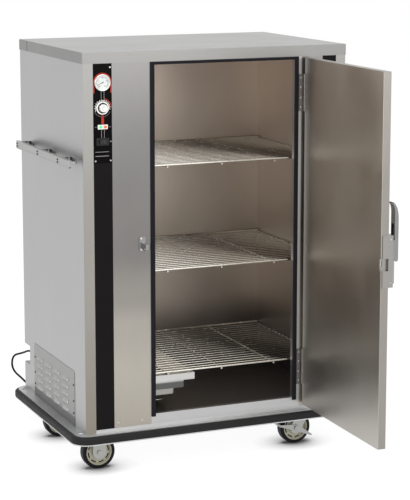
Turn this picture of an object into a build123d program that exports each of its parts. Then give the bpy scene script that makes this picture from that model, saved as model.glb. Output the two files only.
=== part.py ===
from build123d import *
import math
import os

os.makedirs("parts", exist_ok=True)

# Heated banquet cabinet on casters, in millimetres, +Z up.
# The origin is on the floor under the middle of the body; +X runs right along the front, -Y is the front.
# The door stands open at rest, as the cabinet is shown.

# Overall sizes
body_width = 1059.0
body_depth = 733.0
total_height = 1565.0
deck_top = 155.0
skin = 1.5
liner_sheet = 1.2
cap_flange = 41.0
sheet_bend = 3.0
running_gap = 0.3
pin_play = 0.06
weld_bite = 0.4

body_right = body_width / 2
body_left = -body_right
rear_face = body_depth / 2
front_face = -rear_face
cap_underside = total_height - skin
panel_back = front_face + skin

# Front layout, from left to right
post_width = 40.5
left_strip_width = 72.0
left_panel_width = 148.0
gasket_width = 16.0
gasket_height = 5.9
gasket_drop = 10.0
hinge_strip_width = 14.0
right_panel_width = 87.0
right_strip_width = 57.0
rail_height = 12.0
groove_height = 3.0
groove_depth = 0.7
sill_height = 49.8
header_height = 52.0
frame_return = 18.0

left_post_edge = body_left + post_width
right_post_edge = body_right - post_width
left_panel_edge = left_post_edge + left_strip_width
right_panel_edge = right_post_edge - right_strip_width
gasket_left = left_panel_edge + left_panel_width
frame_right = right_panel_edge - right_panel_width
doorway_left = gasket_left + gasket_width
doorway_right = frame_right - hinge_strip_width - gasket_width
doorway_bottom = deck_top + sill_height
doorway_top = total_height - header_height
rail_top = deck_top + rail_height

# Controls, from the top down on the middle line of their plate
thermometer_drop = 108.5
thermostat_drop = 91.4
indicator_drop = 68.6
switch_drop = 54.0
plate_drop = 78.0
control_middle = (left_post_edge + left_panel_edge) / 2
thermometer_height = cap_underside - thermometer_drop
thermostat_height = thermometer_height - thermostat_drop
indicator_height = thermostat_height - indicator_drop
switch_height = indicator_height - switch_drop
control_bottom = switch_height - plate_drop

# Heated space
side_wall = 49.5
rear_wall = 59.5
cavity_left = left_panel_edge + liner_sheet
cavity_right = body_right - side_wall
cavity_back = rear_face - rear_wall
cavity_floor = doorway_bottom
cavity_ceiling = doorway_top + skin
chase_depth = 66.0


def rectangle_between(left, right, low, high, mode=Mode.ADD):
    """Adds to the sketch the rectangle between these limits."""
    with Locations(((left + right) / 2, (low + high) / 2)):
        Rectangle(right - left, high - low, mode=mode)


def block_between(x_limits, y_limits, z_limits, mode=Mode.ADD):
    """Adds to the part the block between these limits, each a pair of low and high."""
    with BuildSketch(Plane.XY.offset(z_limits[0])) as outline:
        rectangle_between(*x_limits, *y_limits)
    extrude(outline.sketch, amount=z_limits[1] - z_limits[0], mode=mode)


# Top cap: a folded lid with its flange lapped over the body
with BuildPart() as top_cap:
    with BuildSketch(Plane.XY.offset(cap_underside - cap_flange + skin)):
        Rectangle(body_width + 2 * skin, body_depth + 2 * skin)
    extrude(amount=cap_flange)
    fillet(top_cap.edges().filter_by(Axis.Z), radius=sheet_bend)
    fillet(top_cap.faces().sort_by(Axis.Z)[-1].edges(), radius=skin)
    with BuildSketch(Plane.XY.offset(cap_underside - cap_flange + skin)):
        Rectangle(body_width, body_depth)
    extrude(amount=cap_flange - skin, mode=Mode.SUBTRACT)
top_cap.part.label = "top_cap"
export_step(top_cap.part, "parts/top_cap.step")

# Cord recess: an open box in the rear left corner, its walls shown through notches in the sheets
recess_depth = 66.5
recess_rise = 108.0
recess_height = 76.0
recess_width = 60.0
recess_front = rear_face - recess_depth
recess_bottom = deck_top + recess_rise
recess_top = recess_bottom + recess_height
recess_inner = body_left + recess_width
with BuildPart() as cord_recess:
    block_between(
        (body_left, recess_inner + liner_sheet),
        (recess_front - liner_sheet, rear_face),
        (recess_bottom - liner_sheet, recess_top + liner_sheet),
    )
    block_between(
        (body_left, recess_inner),
        (recess_front, rear_face),
        (recess_bottom, recess_top),
        mode=Mode.SUBTRACT,
    )
cord_recess.part.label = "cord_recess"
export_step(cord_recess.part, "parts/cord_recess.step")

# Louvred vent plate on the left side, and the opening that it covers
vent_front = front_face + 120.5
vent_rear = rear_face - 126.5
vent_bottom = deck_top + 35.0
vent_top = deck_top + 212.0
vent_margin = 22.0
vent_corner = 10.0
vent_toe_lap = 3.0
louvre_length = 88.0
louvre_radius = 7.0
louvre_hollow = louvre_radius - liner_sheet
louvre_pitch = 29.0
louvre_rows = 5
louvre_columns = 4
louvre_spacing = 102.0
louvre_start = 105.0
louvre_top_row = vent_top - 58.0

# Equal screws: plain heads with shanks that reach just through what they hold
screw_head_radius = 3.8
screw_head_height = 2.2
screw_radius = 2.0
screw_hole_radius = 2.1
control_screw_inset = 7.0
control_screws = (
    (left_panel_edge - control_screw_inset, cap_underside - 53.5),
    (left_panel_edge - control_screw_inset, control_bottom + 8.6),
    (left_post_edge + control_screw_inset, control_bottom + 8.6),
)
panel_screw_rise = 19.0
panel_screws = (
    (left_panel_edge + 15.0, rail_top + panel_screw_rise),
    (gasket_left - 39.0, rail_top + panel_screw_rise),
)
vent_screws = [
    (across, height)
    for across in (vent_front + vent_margin / 2, vent_rear - vent_margin / 2)
    for height in (vent_top - 55.0, vent_top - 117.0, vent_top - 164.0)
]

# Sizes of the push bar on the left side
bar_reach = 60.5
bar_depth = 12.0
bar_sheet = 2.2
bar_lip = 4.0
bar_height = 1166.0
bar_width = 30.0
bar_bead = 6.0
bar_face = body_left - bar_reach
bar_bottom = bar_height - bar_width / 2
bar_top = bar_height + bar_width / 2
bar_front = front_face - 13.5
bar_rear = rear_face - 124.5
bracket_bends = (bar_rear + 7.0, (bar_front + bar_rear) / 2 + 67.0, bar_front + 142.0)
bracket_height = 20.0
bracket_sheet = 4.0
bracket_foot = 56.0
bracket_bend = 12.0
bracket_leg = 34.0
bar_screw_rise = 5.0
bar_screw_back = 20.0
foot_screw_backs = (24.0, 46.0)
bar_inside = bar_face + bar_sheet
bar_screws = [
    (bend - bar_screw_back, bar_height + rise)
    for bend in bracket_bends
    for rise in (-bar_screw_rise, bar_screw_rise)
]
foot_screws = [(bend - back, bar_height) for bend in bracket_bends for back in foot_screw_backs]

# Side sheets, each with the front corner post bent on
with BuildPart() as left_side_panel:
    with BuildSketch(Plane.XY.offset(deck_top)):
        with BuildLine():
            FilletPolyline(
                (body_left, rear_face),
                (body_left, front_face),
                (left_post_edge, front_face),
                radius=sheet_bend,
            )
            offset(amount=skin, side=Side.LEFT)
        make_face()
    extrude(amount=cap_underside - deck_top)
    # Opening behind the louvred plate, as wide as the plate at its foot
    with BuildSketch(Plane.YZ.offset(body_left)):
        rectangle_between(
            vent_front + vent_margin, vent_rear - vent_margin, deck_top, vent_top - vent_margin
        )
        rectangle_between(vent_front, vent_rear, deck_top, vent_bottom + vent_toe_lap)
    extrude(amount=skin, mode=Mode.SUBTRACT)
    # Notch round the cord recess
    block_between(
        (body_left, body_left + skin),
        (recess_front - liner_sheet, rear_face),
        (recess_bottom - liner_sheet, recess_top + liner_sheet),
        mode=Mode.SUBTRACT,
    )
    with BuildSketch(Plane.YZ.offset(body_left)):
        with Locations(*vent_screws):
            Circle(screw_hole_radius)
    extrude(amount=skin, mode=Mode.SUBTRACT)
    with BuildSketch(Plane.YZ.offset(body_left)):
        with Locations(*foot_screws):
            Circle(screw_hole_radius)
    extrude(amount=skin, mode=Mode.SUBTRACT)
left_side_panel.part.label = "left_side_panel"
export_step(left_side_panel.part, "parts/left_side_panel.step")

with BuildPart() as right_side_panel:
    with BuildSketch(Plane.XY.offset(deck_top)):
        with BuildLine():
            FilletPolyline(
                (body_right, rear_face),
                (body_right, front_face),
                (right_post_edge, front_face),
                radius=sheet_bend,
            )
            offset(amount=skin, side=Side.RIGHT)
        make_face()
    extrude(amount=cap_underside - deck_top)
right_side_panel.part.label = "right_side_panel"
export_step(right_side_panel.part, "parts/right_side_panel.step")

with BuildPart() as rear_panel:
    block_between(
        (body_left + skin, body_right - skin),
        (rear_face - skin, rear_face),
        (deck_top, cap_underside),
    )
    block_between(
        (body_left, recess_inner + liner_sheet),
        (rear_face - skin, rear_face),
        (recess_bottom - liner_sheet, recess_top + liner_sheet),
        mode=Mode.SUBTRACT,
    )
rear_panel.part.label = "rear_panel"
export_step(rear_panel.part, "parts/rear_panel.step")

# Louvres: quarter-round hoods, open downwards, each over a slot in the plate
louvre_spots = [
    (vent_front + louvre_start + column * louvre_spacing, louvre_top_row - row * louvre_pitch)
    for column in range(louvre_columns)
    for row in range(louvre_rows)
]
with BuildPart() as vent_plate:
    with BuildSketch(Plane.YZ.offset(body_left - skin)):
        with Locations(((vent_front + vent_rear) / 2, (vent_bottom + vent_top) / 2)):
            RectangleRounded(vent_rear - vent_front, vent_top - vent_bottom, vent_corner)
        with Locations(*vent_screws):
            Circle(screw_hole_radius, mode=Mode.SUBTRACT)
    extrude(amount=skin)
    for middle, height in louvre_spots:
        hood_end = Plane((body_left, middle - louvre_length / 2, height), x_dir=(-1, 0, 0), z_dir=(0, 1, 0))
        with BuildSketch(hood_end):
            with BuildLine():
                Polyline((skin, 0), (0, 0), (0, louvre_radius), (skin, louvre_radius))
                RadiusArc((skin, louvre_radius), (skin + louvre_radius, 0), -louvre_radius)
                Line((skin + louvre_radius, 0), (skin, 0))
            make_face()
        extrude(amount=louvre_length)
        with BuildSketch(hood_end.offset(skin)):
            with BuildLine():
                Polyline((0, 0), (0, louvre_hollow), (skin, louvre_hollow))
                RadiusArc((skin, louvre_hollow), (skin + louvre_hollow, 0), -louvre_hollow)
                Line((skin + louvre_hollow, 0), (0, 0))
            make_face()
        extrude(amount=louvre_length - 2 * skin, mode=Mode.SUBTRACT)
    # Toe below the plate, flush with the side sheet and lapped behind the plate
    with BuildSketch(Plane.YZ.offset(body_left)):
        rectangle_between(
            vent_front + running_gap,
            vent_rear - running_gap,
            deck_top + running_gap,
            vent_bottom + vent_toe_lap - running_gap,
        )
    extrude(amount=skin)
vent_plate.part.label = "vent_plate"
export_step(vent_plate.part, "parts/vent_plate.step")

# Front: frame round the doorway, fixed panels, strips and control plate, all on the base's rail
front_plane = Plane.XZ.offset(-front_face)
with BuildPart() as door_frame:
    with BuildSketch(front_plane):
        rectangle_between(gasket_left, frame_right, rail_top, cap_underside)
        rectangle_between(doorway_left, doorway_right, doorway_bottom, doorway_top, mode=Mode.SUBTRACT)
    extrude(amount=-skin)
    # Inward returns along the four edges of the doorway
    with BuildSketch(front_plane):
        rectangle_between(
            doorway_left - skin, doorway_right + skin, doorway_bottom - skin, doorway_top + skin
        )
        rectangle_between(doorway_left, doorway_right, doorway_bottom, doorway_top, mode=Mode.SUBTRACT)
    extrude(amount=-frame_return)
    # Groove where the sill meets the rail
    with BuildSketch(front_plane):
        rectangle_between(gasket_left, frame_right, rail_top, rail_top + groove_height)
    extrude(amount=-groove_depth, mode=Mode.SUBTRACT)
door_frame.part.label = "door_frame"
export_step(door_frame.part, "parts/door_frame.step")

with BuildPart() as right_front_panel:
    with BuildSketch(front_plane):
        rectangle_between(frame_right, right_panel_edge, rail_top, cap_underside)
    extrude(amount=-skin)
right_front_panel.part.label = "right_front_panel"
export_step(right_front_panel.part, "parts/right_front_panel.step")

with BuildPart() as front_strips:
    with BuildSketch(front_plane):
        rectangle_between(left_post_edge, left_panel_edge, rail_top, control_bottom)
        rectangle_between(right_panel_edge, right_post_edge, rail_top, cap_underside)
    extrude(amount=-skin)
front_strips.part.label = "front_strips"
export_step(front_strips.part, "parts/front_strips.step")

# Sizes of the controls
thermometer_bezel_radius = 30.0
thermometer_body_radius = 27.0
thermometer_depth = 26.0
thermometer_bezel_height = 3.8
thermometer_rim = 3.0
dial_face_depth = 0.4
lens_thickness = 1.2
needle_thickness = 0.7
needle_pin_radius = 0.8
thermostat_size = 50.0
thermostat_depth = 40.0
bushing_radius = 5.0
spindle_radius = 3.0
spindle_length = 15.0
knob_skirt_radius = 24.0
knob_skirt_height = 3.0
knob_cap_radius = 14.5
knob_cap_height = 16.0
indicator_width = 38.0
indicator_tall = 16.5
indicator_flange = 2.0
indicator_body_depth = 24.0
lens_inset = 2.0
lens_rise = 1.6
switch_width = 49.0
switch_tall = 28.0
switch_flange = 2.6
switch_body_inset = 2.5
switch_body_depth = 30.0
switch_window_width = 33.0
switch_window_tall = 17.0

with BuildPart() as control_plate:
    with BuildSketch(front_plane):
        rectangle_between(left_post_edge, left_panel_edge, control_bottom, cap_underside)
        with Locations((control_middle, thermometer_height)):
            Circle(thermometer_body_radius, mode=Mode.SUBTRACT)
        with Locations((control_middle, thermostat_height)):
            Circle(bushing_radius, mode=Mode.SUBTRACT)
        with Locations((control_middle, indicator_height)):
            Rectangle(indicator_width - 2 * lens_inset, indicator_tall - 2 * lens_inset, mode=Mode.SUBTRACT)
        with Locations((control_middle, switch_height)):
            Rectangle(
                switch_width - 2 * switch_body_inset,
                switch_tall - 2 * switch_body_inset,
                mode=Mode.SUBTRACT,
            )
        with Locations(*control_screws):
            Circle(screw_hole_radius, mode=Mode.SUBTRACT)
    extrude(amount=-skin)
control_plate.part.label = "control_plate"
export_step(control_plate.part, "parts/control_plate.step")

# Thermometer: a cup with a bezel, the dial face at its bottom and a pin for the needle
with BuildPart() as thermometer_case:
    with BuildSketch(front_plane):
        with Locations((control_middle, thermometer_height)):
            Circle(thermometer_bezel_radius)
    extrude(amount=thermometer_bezel_height)
    fillet(thermometer_case.faces().sort_by(Axis.Y)[0].edges(), radius=thermometer_rim / 3)
    with BuildSketch(front_plane):
        with Locations((control_middle, thermometer_height)):
            Circle(thermometer_body_radius)
    extrude(amount=-thermometer_depth)
    with BuildSketch(front_plane.offset(dial_face_depth)):
        with Locations((control_middle, thermometer_height)):
            Circle(thermometer_bezel_radius - thermometer_rim)
    extrude(amount=thermometer_bezel_height, mode=Mode.SUBTRACT)
    with BuildSketch(front_plane.offset(dial_face_depth)):
        with Locations((control_middle, thermometer_height)):
            Circle(needle_pin_radius)
    extrude(amount=2 * running_gap + needle_thickness)
thermometer_case.part.label = "thermometer_case"
export_step(thermometer_case.part, "parts/thermometer_case.step")

with BuildPart() as thermometer_lens:
    with BuildSketch(front_plane.offset(thermometer_bezel_height - lens_thickness - running_gap)):
        with Locations((control_middle, thermometer_height)):
            Circle(thermometer_bezel_radius - thermometer_rim)
    extrude(amount=lens_thickness)
thermometer_lens.part.label = "thermometer_lens"
export_step(thermometer_lens.part, "parts/thermometer_lens.step")

# The needle points down to the left at rest
needle_angle = 205.0
needle_length = 21.0
needle_tail = 6.0
needle_hub_radius = 2.6
with BuildPart() as thermometer_needle:
    with BuildSketch(front_plane.offset(dial_face_depth + running_gap)):
        with Locations(Location((control_middle, thermometer_height), needle_angle)):
            Circle(needle_hub_radius)
            Polygon(
                (-needle_tail, -0.9),
                (needle_length, -0.3),
                (needle_length, 0.3),
                (-needle_tail, 0.9),
                align=None,
            )
            Circle(needle_pin_radius + pin_play, mode=Mode.SUBTRACT)
    extrude(amount=needle_thickness)
thermometer_needle.part.label = "thermometer_needle"
export_step(thermometer_needle.part, "parts/thermometer_needle.step")

# Thermostat behind the plate, its bushing and spindle through it, and the knob on the spindle
with BuildPart() as thermostat_body:
    with BuildSketch(front_plane.offset(-skin)):
        with Locations((control_middle, thermostat_height)):
            RectangleRounded(thermostat_size, thermostat_size, 4)
    extrude(amount=-thermostat_depth)
    with BuildSketch(front_plane.offset(-skin)):
        with Locations((control_middle, thermostat_height)):
            Circle(bushing_radius)
    extrude(amount=skin)
    with BuildSketch(front_plane):
        with Locations((control_middle, thermostat_height)):
            Circle(spindle_radius)
    extrude(amount=spindle_length)
thermostat_body.part.label = "thermostat_body"
export_step(thermostat_body.part, "parts/thermostat_body.step")

with BuildPart() as thermostat_knob:
    with BuildSketch(front_plane.offset(running_gap)):
        with Locations((control_middle, thermostat_height)):
            Circle(knob_skirt_radius)
    extrude(amount=knob_skirt_height)
    chamfer(thermostat_knob.faces().sort_by(Axis.Y)[0].edges(), length=knob_skirt_height / 3)
    with BuildSketch(front_plane.offset(running_gap)):
        with Locations((control_middle, thermostat_height)):
            Circle(knob_cap_radius)
    extrude(amount=knob_skirt_height + knob_cap_height, taper=2)
    fillet(thermostat_knob.faces().sort_by(Axis.Y)[0].edges(), radius=1.5)
    # Grip flutes round the cap
    with BuildSketch(front_plane.offset(running_gap + knob_skirt_height)):
        with Locations((control_middle, thermostat_height)):
            with PolarLocations(knob_cap_radius + 1.0, 8):
                Circle(2.4)
    extrude(amount=knob_cap_height, mode=Mode.SUBTRACT)
    with BuildSketch(front_plane.offset(running_gap)):
        with Locations((control_middle, thermostat_height)):
            Circle(spindle_radius + pin_play)
    extrude(amount=spindle_length, mode=Mode.SUBTRACT)
thermostat_knob.part.label = "thermostat_knob"
export_step(thermostat_knob.part, "parts/thermostat_knob.step")

# Twin pilot light: a white frame with two lenses
with BuildPart() as indicator_light:
    with BuildSketch(front_plane):
        with Locations((control_middle, indicator_height)):
            RectangleRounded(indicator_width, indicator_tall, 2)
    extrude(amount=indicator_flange)
    with BuildSketch(front_plane):
        with Locations((control_middle, indicator_height)):
            Rectangle(indicator_width - 2 * lens_inset, indicator_tall - 2 * lens_inset)
    extrude(amount=-indicator_body_depth)
    with BuildSketch(front_plane.offset(indicator_flange)):
        with Locations((control_middle, indicator_height)):
            with GridLocations(indicator_width / 2 - lens_inset / 2, 0, 2, 1):
                Rectangle(indicator_width / 2 - 2 * lens_inset, indicator_tall - 2 * lens_inset)
    extrude(amount=lens_rise, taper=30)
indicator_light.part.label = "indicator_light"
export_step(indicator_light.part, "parts/indicator_light.step")

# Rocker switch: bezel with its body behind the plate, and the rocker on a pivot pin
rocker_half_width = 14.5
rocker_half_tall = 8.0
rocker_pivot_depth = 5.0
rocker_pin_radius = 1.5
rocker_rise = 3.2
rocker_dip = 2.2
rocker_cheek = 4.0
rocker_belly_radius = 21.75
rocker_tilt = 10.0
rocker_keel = 8.0
switch_well_depth = 16.0
with BuildPart() as switch_bezel:
    with BuildSketch(front_plane):
        with Locations((control_middle, switch_height)):
            RectangleRounded(switch_width, switch_tall, 3)
    extrude(amount=switch_flange)
    chamfer(switch_bezel.faces().sort_by(Axis.Y)[0].edges(), length=1)
    with BuildSketch(front_plane):
        with Locations((control_middle, switch_height)):
            Rectangle(switch_width - 2 * switch_body_inset, switch_tall - 2 * switch_body_inset)
    extrude(amount=-switch_body_depth)
    with BuildSketch(front_plane.offset(switch_flange)):
        with Locations((control_middle, switch_height)):
            Rectangle(switch_window_width, switch_window_tall)
    extrude(amount=-switch_well_depth - switch_flange, mode=Mode.SUBTRACT)
    # Pivot pin across the well
    with BuildSketch(Plane.XY.offset(switch_height - switch_window_tall / 2 - weld_bite)):
        with Locations((control_middle, front_face + rocker_pivot_depth)):
            Circle(rocker_pin_radius)
    extrude(amount=switch_window_tall + 2 * weld_bite)
switch_bezel.part.label = "switch_bezel"
export_step(switch_bezel.part, "parts/switch_bezel.step")

rocker_turn = math.radians(rocker_tilt)
rocker_plane = Plane(
    origin=(control_middle, front_face + rocker_pivot_depth, switch_height - rocker_half_tall),
    x_dir=(math.cos(rocker_turn), math.sin(rocker_turn), 0),
    z_dir=(0, 0, 1),
)
rocker_front = -rocker_pivot_depth - rocker_rise
rocker_cheek_end = rocker_front + rocker_cheek
with BuildPart() as rocker_switch:
    with BuildSketch(rocker_plane):
        with BuildLine():
            Polyline(
                (-rocker_half_width, rocker_front),
                (0, rocker_front + rocker_dip),
                (rocker_half_width, rocker_front),
                (rocker_half_width, rocker_cheek_end),
            )
            RadiusArc((rocker_half_width, rocker_cheek_end), (0, rocker_keel), -rocker_belly_radius)
            RadiusArc((0, rocker_keel), (-rocker_half_width, rocker_cheek_end), -rocker_belly_radius)
            Line((-rocker_half_width, rocker_cheek_end), (-rocker_half_width, rocker_front))
        make_face()
        Circle(rocker_pin_radius + pin_play, mode=Mode.SUBTRACT)
    extrude(amount=2 * rocker_half_tall)
rocker_switch.part.label = "rocker_switch"
export_step(rocker_switch.part, "parts/rocker_switch.step")

# Door seal on the left, top and right of the doorway
gasket_foot = doorway_bottom - gasket_drop
with BuildPart() as door_gasket:
    with BuildSketch(front_plane):
        rectangle_between(
            gasket_left, doorway_right + gasket_width, gasket_foot, total_height - cap_flange
        )
        rectangle_between(doorway_left, doorway_right, gasket_foot, doorway_top, mode=Mode.SUBTRACT)
    extrude(amount=gasket_height)
    chamfer(door_gasket.faces().sort_by(Axis.Y)[0].edges(), length=gasket_height / 4)
door_gasket.part.label = "door_gasket"
export_step(door_gasket.part, "parts/door_gasket.step")

# Liner sheets of the heated space
with BuildPart() as liner_left:
    block_between(
        (cavity_left - liner_sheet, cavity_left),
        (panel_back, cavity_back),
        (cavity_floor - liner_sheet, cavity_ceiling),
    )
liner_left.part.label = "liner_left"
export_step(liner_left.part, "parts/liner_left.step")

with BuildPart() as liner_right:
    block_between(
        (cavity_right, cavity_right + liner_sheet),
        (panel_back, cavity_back),
        (cavity_floor - liner_sheet, cavity_ceiling),
    )
liner_right.part.label = "liner_right"
export_step(liner_right.part, "parts/liner_right.step")

with BuildPart() as liner_back:
    block_between(
        (cavity_left - liner_sheet, cavity_right + liner_sheet),
        (cavity_back, cavity_back + liner_sheet),
        (cavity_floor - liner_sheet, cavity_ceiling),
    )
liner_back.part.label = "liner_back"
export_step(liner_back.part, "parts/liner_back.step")

with BuildPart() as liner_ceiling:
    block_between(
        (cavity_left - liner_sheet, cavity_right + liner_sheet),
        (panel_back, cavity_back + liner_sheet),
        (cavity_ceiling, cavity_ceiling + liner_sheet),
    )
liner_ceiling.part.label = "liner_ceiling"
export_step(liner_ceiling.part, "parts/liner_ceiling.step")

with BuildPart() as liner_floor:
    block_between(
        (cavity_left, cavity_right),
        (front_face + frame_return, cavity_back),
        (cavity_floor - liner_sheet, cavity_floor),
    )
liner_floor.part.label = "liner_floor"
export_step(liner_floor.part, "parts/liner_floor.step")

# Insulation between the liner and the outer sheets, with room for the controls and the vented space
vent_space_width = 90.0
with BuildPart() as insulation_jacket:
    block_between(
        (body_left + skin, body_right - skin),
        (panel_back, rear_face - skin),
        (deck_top, cap_underside),
    )
    fillet(insulation_jacket.edges().filter_by(Axis.Z), radius=sheet_bend)
    block_between(
        (cavity_left - liner_sheet, cavity_right + liner_sheet),
        (panel_back, cavity_back + liner_sheet),
        (cavity_floor - liner_sheet, cavity_ceiling + liner_sheet),
        mode=Mode.SUBTRACT,
    )
    # Wiring chase behind the control plate and the left strip
    block_between(
        (body_left + skin, cavity_left - liner_sheet),
        (panel_back, panel_back + chase_depth),
        (deck_top, cap_underside),
        mode=Mode.SUBTRACT,
    )
    # Room behind the frame's sill
    block_between(
        (cavity_left - liner_sheet, body_right - skin),
        (panel_back, front_face + frame_return),
        (deck_top, cavity_floor - liner_sheet),
        mode=Mode.SUBTRACT,
    )
    # Vented space at the lower left
    block_between(
        (body_left + skin, body_left + vent_space_width),
        (panel_back + chase_depth, vent_rear),
        (deck_top, vent_top),
        mode=Mode.SUBTRACT,
    )
    # Cord recess
    block_between(
        (body_left + skin, recess_inner + liner_sheet),
        (recess_front - liner_sheet, rear_face - skin),
        (recess_bottom - liner_sheet, recess_top + liner_sheet),
        mode=Mode.SUBTRACT,
    )
insulation_jacket.part.label = "insulation_jacket"
export_step(insulation_jacket.part, "parts/insulation_jacket.step")

# Wire shelves: wires along the width, a bond's thickness above the cross rods that carry them,
# with heavier wires at the front and back
shelf_clearance = 3.0
shelf_left = cavity_left + shelf_clearance
shelf_right = cavity_right - shelf_clearance
shelf_front = front_face + 31.5
shelf_back = cavity_back - shelf_clearance
wire_radius = 2.2
edge_wire_radius = 4.0
cross_rod_radius = 3.5
wire_count = 20
cross_rod_count = 5
wire_first = shelf_front + 2 * edge_wire_radius + wire_radius
wire_last = shelf_back - 2 * edge_wire_radius - wire_radius
wire_end = 2.5
wire_bond = 0.05
cross_rod_first = shelf_left + wire_end + cross_rod_radius
cross_rod_last = shelf_right - wire_end - cross_rod_radius
cross_rod_drop = wire_radius + cross_rod_radius + wire_bond
edge_wire_rise = edge_wire_radius - wire_radius
shelf_heights = {
    "lower": doorway_bottom + 143.4,
    "middle": doorway_bottom + 536.4,
    "upper": doorway_bottom + 930.4,
}

for shelf_name, shelf_height in shelf_heights.items():
    with BuildPart() as wire_shelf:
        with BuildSketch(Plane.YZ.offset(shelf_left)):
            for wire in range(wire_count):
                wire_y = wire_first + (wire_last - wire_first) * wire / (wire_count - 1)
                with Locations((wire_y, shelf_height)):
                    Circle(wire_radius)
            with Locations((shelf_front + edge_wire_radius, shelf_height + edge_wire_rise)):
                Circle(edge_wire_radius)
            with Locations((shelf_back - edge_wire_radius, shelf_height + edge_wire_rise)):
                Circle(edge_wire_radius)
        extrude(amount=shelf_right - shelf_left)
        with BuildSketch(Plane.XZ.offset(-shelf_back + wire_end)):
            for rod in range(cross_rod_count):
                rod_x = cross_rod_first + (cross_rod_last - cross_rod_first) * rod / (cross_rod_count - 1)
                with Locations((rod_x, shelf_height - cross_rod_drop)):
                    Circle(cross_rod_radius)
        extrude(amount=shelf_back - shelf_front - 2 * wire_end)
    wire_shelf.part.label = f"wire_shelf_{shelf_name}"
    export_step(wire_shelf.part, f"parts/wire_shelf_{shelf_name}.step")

# Shelf clips: a plate on the liner wall and a ledge under the shelf's end rod
clip_width = 24.0
clip_sheet = 2.0
clip_ledge = 12.0
clip_plate_height = 26.0
clip_inset = 90.0
with BuildPart() as shelf_clips:
    for shelf_height in shelf_heights.values():
        ledge_top = shelf_height - cross_rod_drop - cross_rod_radius
        for clip_y in (shelf_front + clip_inset, shelf_back - clip_inset):
            y_limits = (clip_y - clip_width / 2, clip_y + clip_width / 2)
            plate_limits = (ledge_top - clip_plate_height, ledge_top)
            ledge_limits = (ledge_top - clip_sheet, ledge_top)
            block_between((cavity_left, cavity_left + clip_sheet), y_limits, plate_limits)
            block_between((cavity_left, cavity_left + clip_ledge), y_limits, ledge_limits)
            block_between((cavity_right - clip_sheet, cavity_right), y_limits, plate_limits)
            block_between((cavity_right - clip_ledge, cavity_right), y_limits, ledge_limits)
shelf_clips.part.label = "shelf_clips"
export_step(shelf_clips.part, "parts/shelf_clips.step")

# Carrier plate under the lower shelf, with a front lip and two runners for the water pan
carrier_sheet = 1.5
carrier_depth = 372.0
carrier_lip = 26.0
pan_length = 264.8
pan_depth_below_rim = 56.0
pan_draft = 4.0
pan_sheet = 1.0
pan_corner = 16.0
pan_rim_width = 10.0
pan_side_play = 1.0
pan_rim_drop = 28.65
runner_ledge = 12.0
runner_drop = 25.0
carrier_top = shelf_heights["lower"] - cross_rod_drop - cross_rod_radius - running_gap
carrier_front = shelf_front + 3.0
carrier_back = carrier_front + carrier_depth
pan_left = cavity_left + 11.0
pan_right = pan_left + pan_length
pan_front = carrier_front + 2 * carrier_sheet + pan_rim_width
pan_back = carrier_back - 2 * carrier_sheet - pan_rim_width
pan_rim_top = carrier_top - pan_rim_drop
runner_right = pan_right + 15.0
runner_bottom = pan_rim_top - runner_drop
carrier_right = runner_right + 45.0
pan_middle = ((pan_left + pan_right) / 2, (pan_front + pan_back) / 2)
with BuildPart() as pan_carrier:
    with BuildSketch(Plane.YZ.offset(cavity_left)):
        rectangle_between(carrier_front, carrier_back, carrier_top - carrier_sheet, carrier_top)
        rectangle_between(
            carrier_front, carrier_front + carrier_sheet, carrier_top - carrier_lip, carrier_top
        )
    extrude(amount=carrier_right - cavity_left)
    # Runners: hanging webs with ledges under the pan's rim
    with BuildSketch(Plane.YZ.offset(cavity_left)):
        for web_outer, inward in ((carrier_front, 1), (carrier_back, -1)):
            web_inner = web_outer + inward * carrier_sheet
            ledge_end = web_outer + inward * runner_ledge
            ledge_top = pan_rim_top - pan_sheet - running_gap
            rectangle_between(*sorted((web_outer, web_inner)), runner_bottom, carrier_top)
            rectangle_between(*sorted((web_outer, ledge_end)), ledge_top - carrier_sheet, ledge_top)
    extrude(amount=runner_right - cavity_left)
    # Wall flange
    block_between(
        (cavity_left, cavity_left + carrier_sheet),
        (carrier_front, carrier_back),
        (carrier_top - carrier_lip, carrier_top),
    )
    # Notch round the shelf clip
    block_between(
        (cavity_left, cavity_left + clip_ledge + running_gap),
        (
            shelf_front + clip_inset - clip_width / 2 - running_gap,
            shelf_front + clip_inset + clip_width / 2 + running_gap,
        ),
        (carrier_top - carrier_lip, carrier_top),
        mode=Mode.SUBTRACT,
    )
pan_carrier.part.label = "pan_carrier"
export_step(pan_carrier.part, "parts/pan_carrier.step")

# Water pan: a drafted tray with a flat rim, hollowed by the same form one sheet smaller
with BuildPart() as pan_hollow:
    with BuildSketch(Plane.XY.offset(pan_rim_top)):
        with Locations(pan_middle):
            RectangleRounded(
                pan_length - 2 * pan_rim_width - 2 * pan_sheet,
                pan_back - pan_front - 4 * pan_sheet,
                pan_corner - pan_sheet,
            )
    extrude(amount=-pan_depth_below_rim + pan_sheet, taper=pan_draft)
    fillet(pan_hollow.faces().sort_by(Axis.Z)[0].edges(), radius=pan_corner / 2 - pan_sheet)

with BuildPart() as water_pan:
    with BuildSketch(Plane.XY.offset(pan_rim_top)):
        with Locations(pan_middle):
            RectangleRounded(
                pan_length - 2 * pan_rim_width, pan_back - pan_front - 2 * pan_sheet, pan_corner
            )
    extrude(amount=-pan_depth_below_rim, taper=pan_draft)
    fillet(water_pan.faces().sort_by(Axis.Z)[0].edges(), radius=pan_corner / 2)
    with BuildSketch(Plane.XY.offset(pan_rim_top - pan_sheet)):
        rectangle_between(
            pan_left,
            pan_right,
            pan_front - pan_rim_width + pan_side_play,
            pan_back + pan_rim_width - pan_side_play,
        )
    extrude(amount=pan_sheet)
    add(pan_hollow.part, mode=Mode.SUBTRACT)
water_pan.part.label = "water_pan"
export_step(water_pan.part, "parts/water_pan.step")

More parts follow.
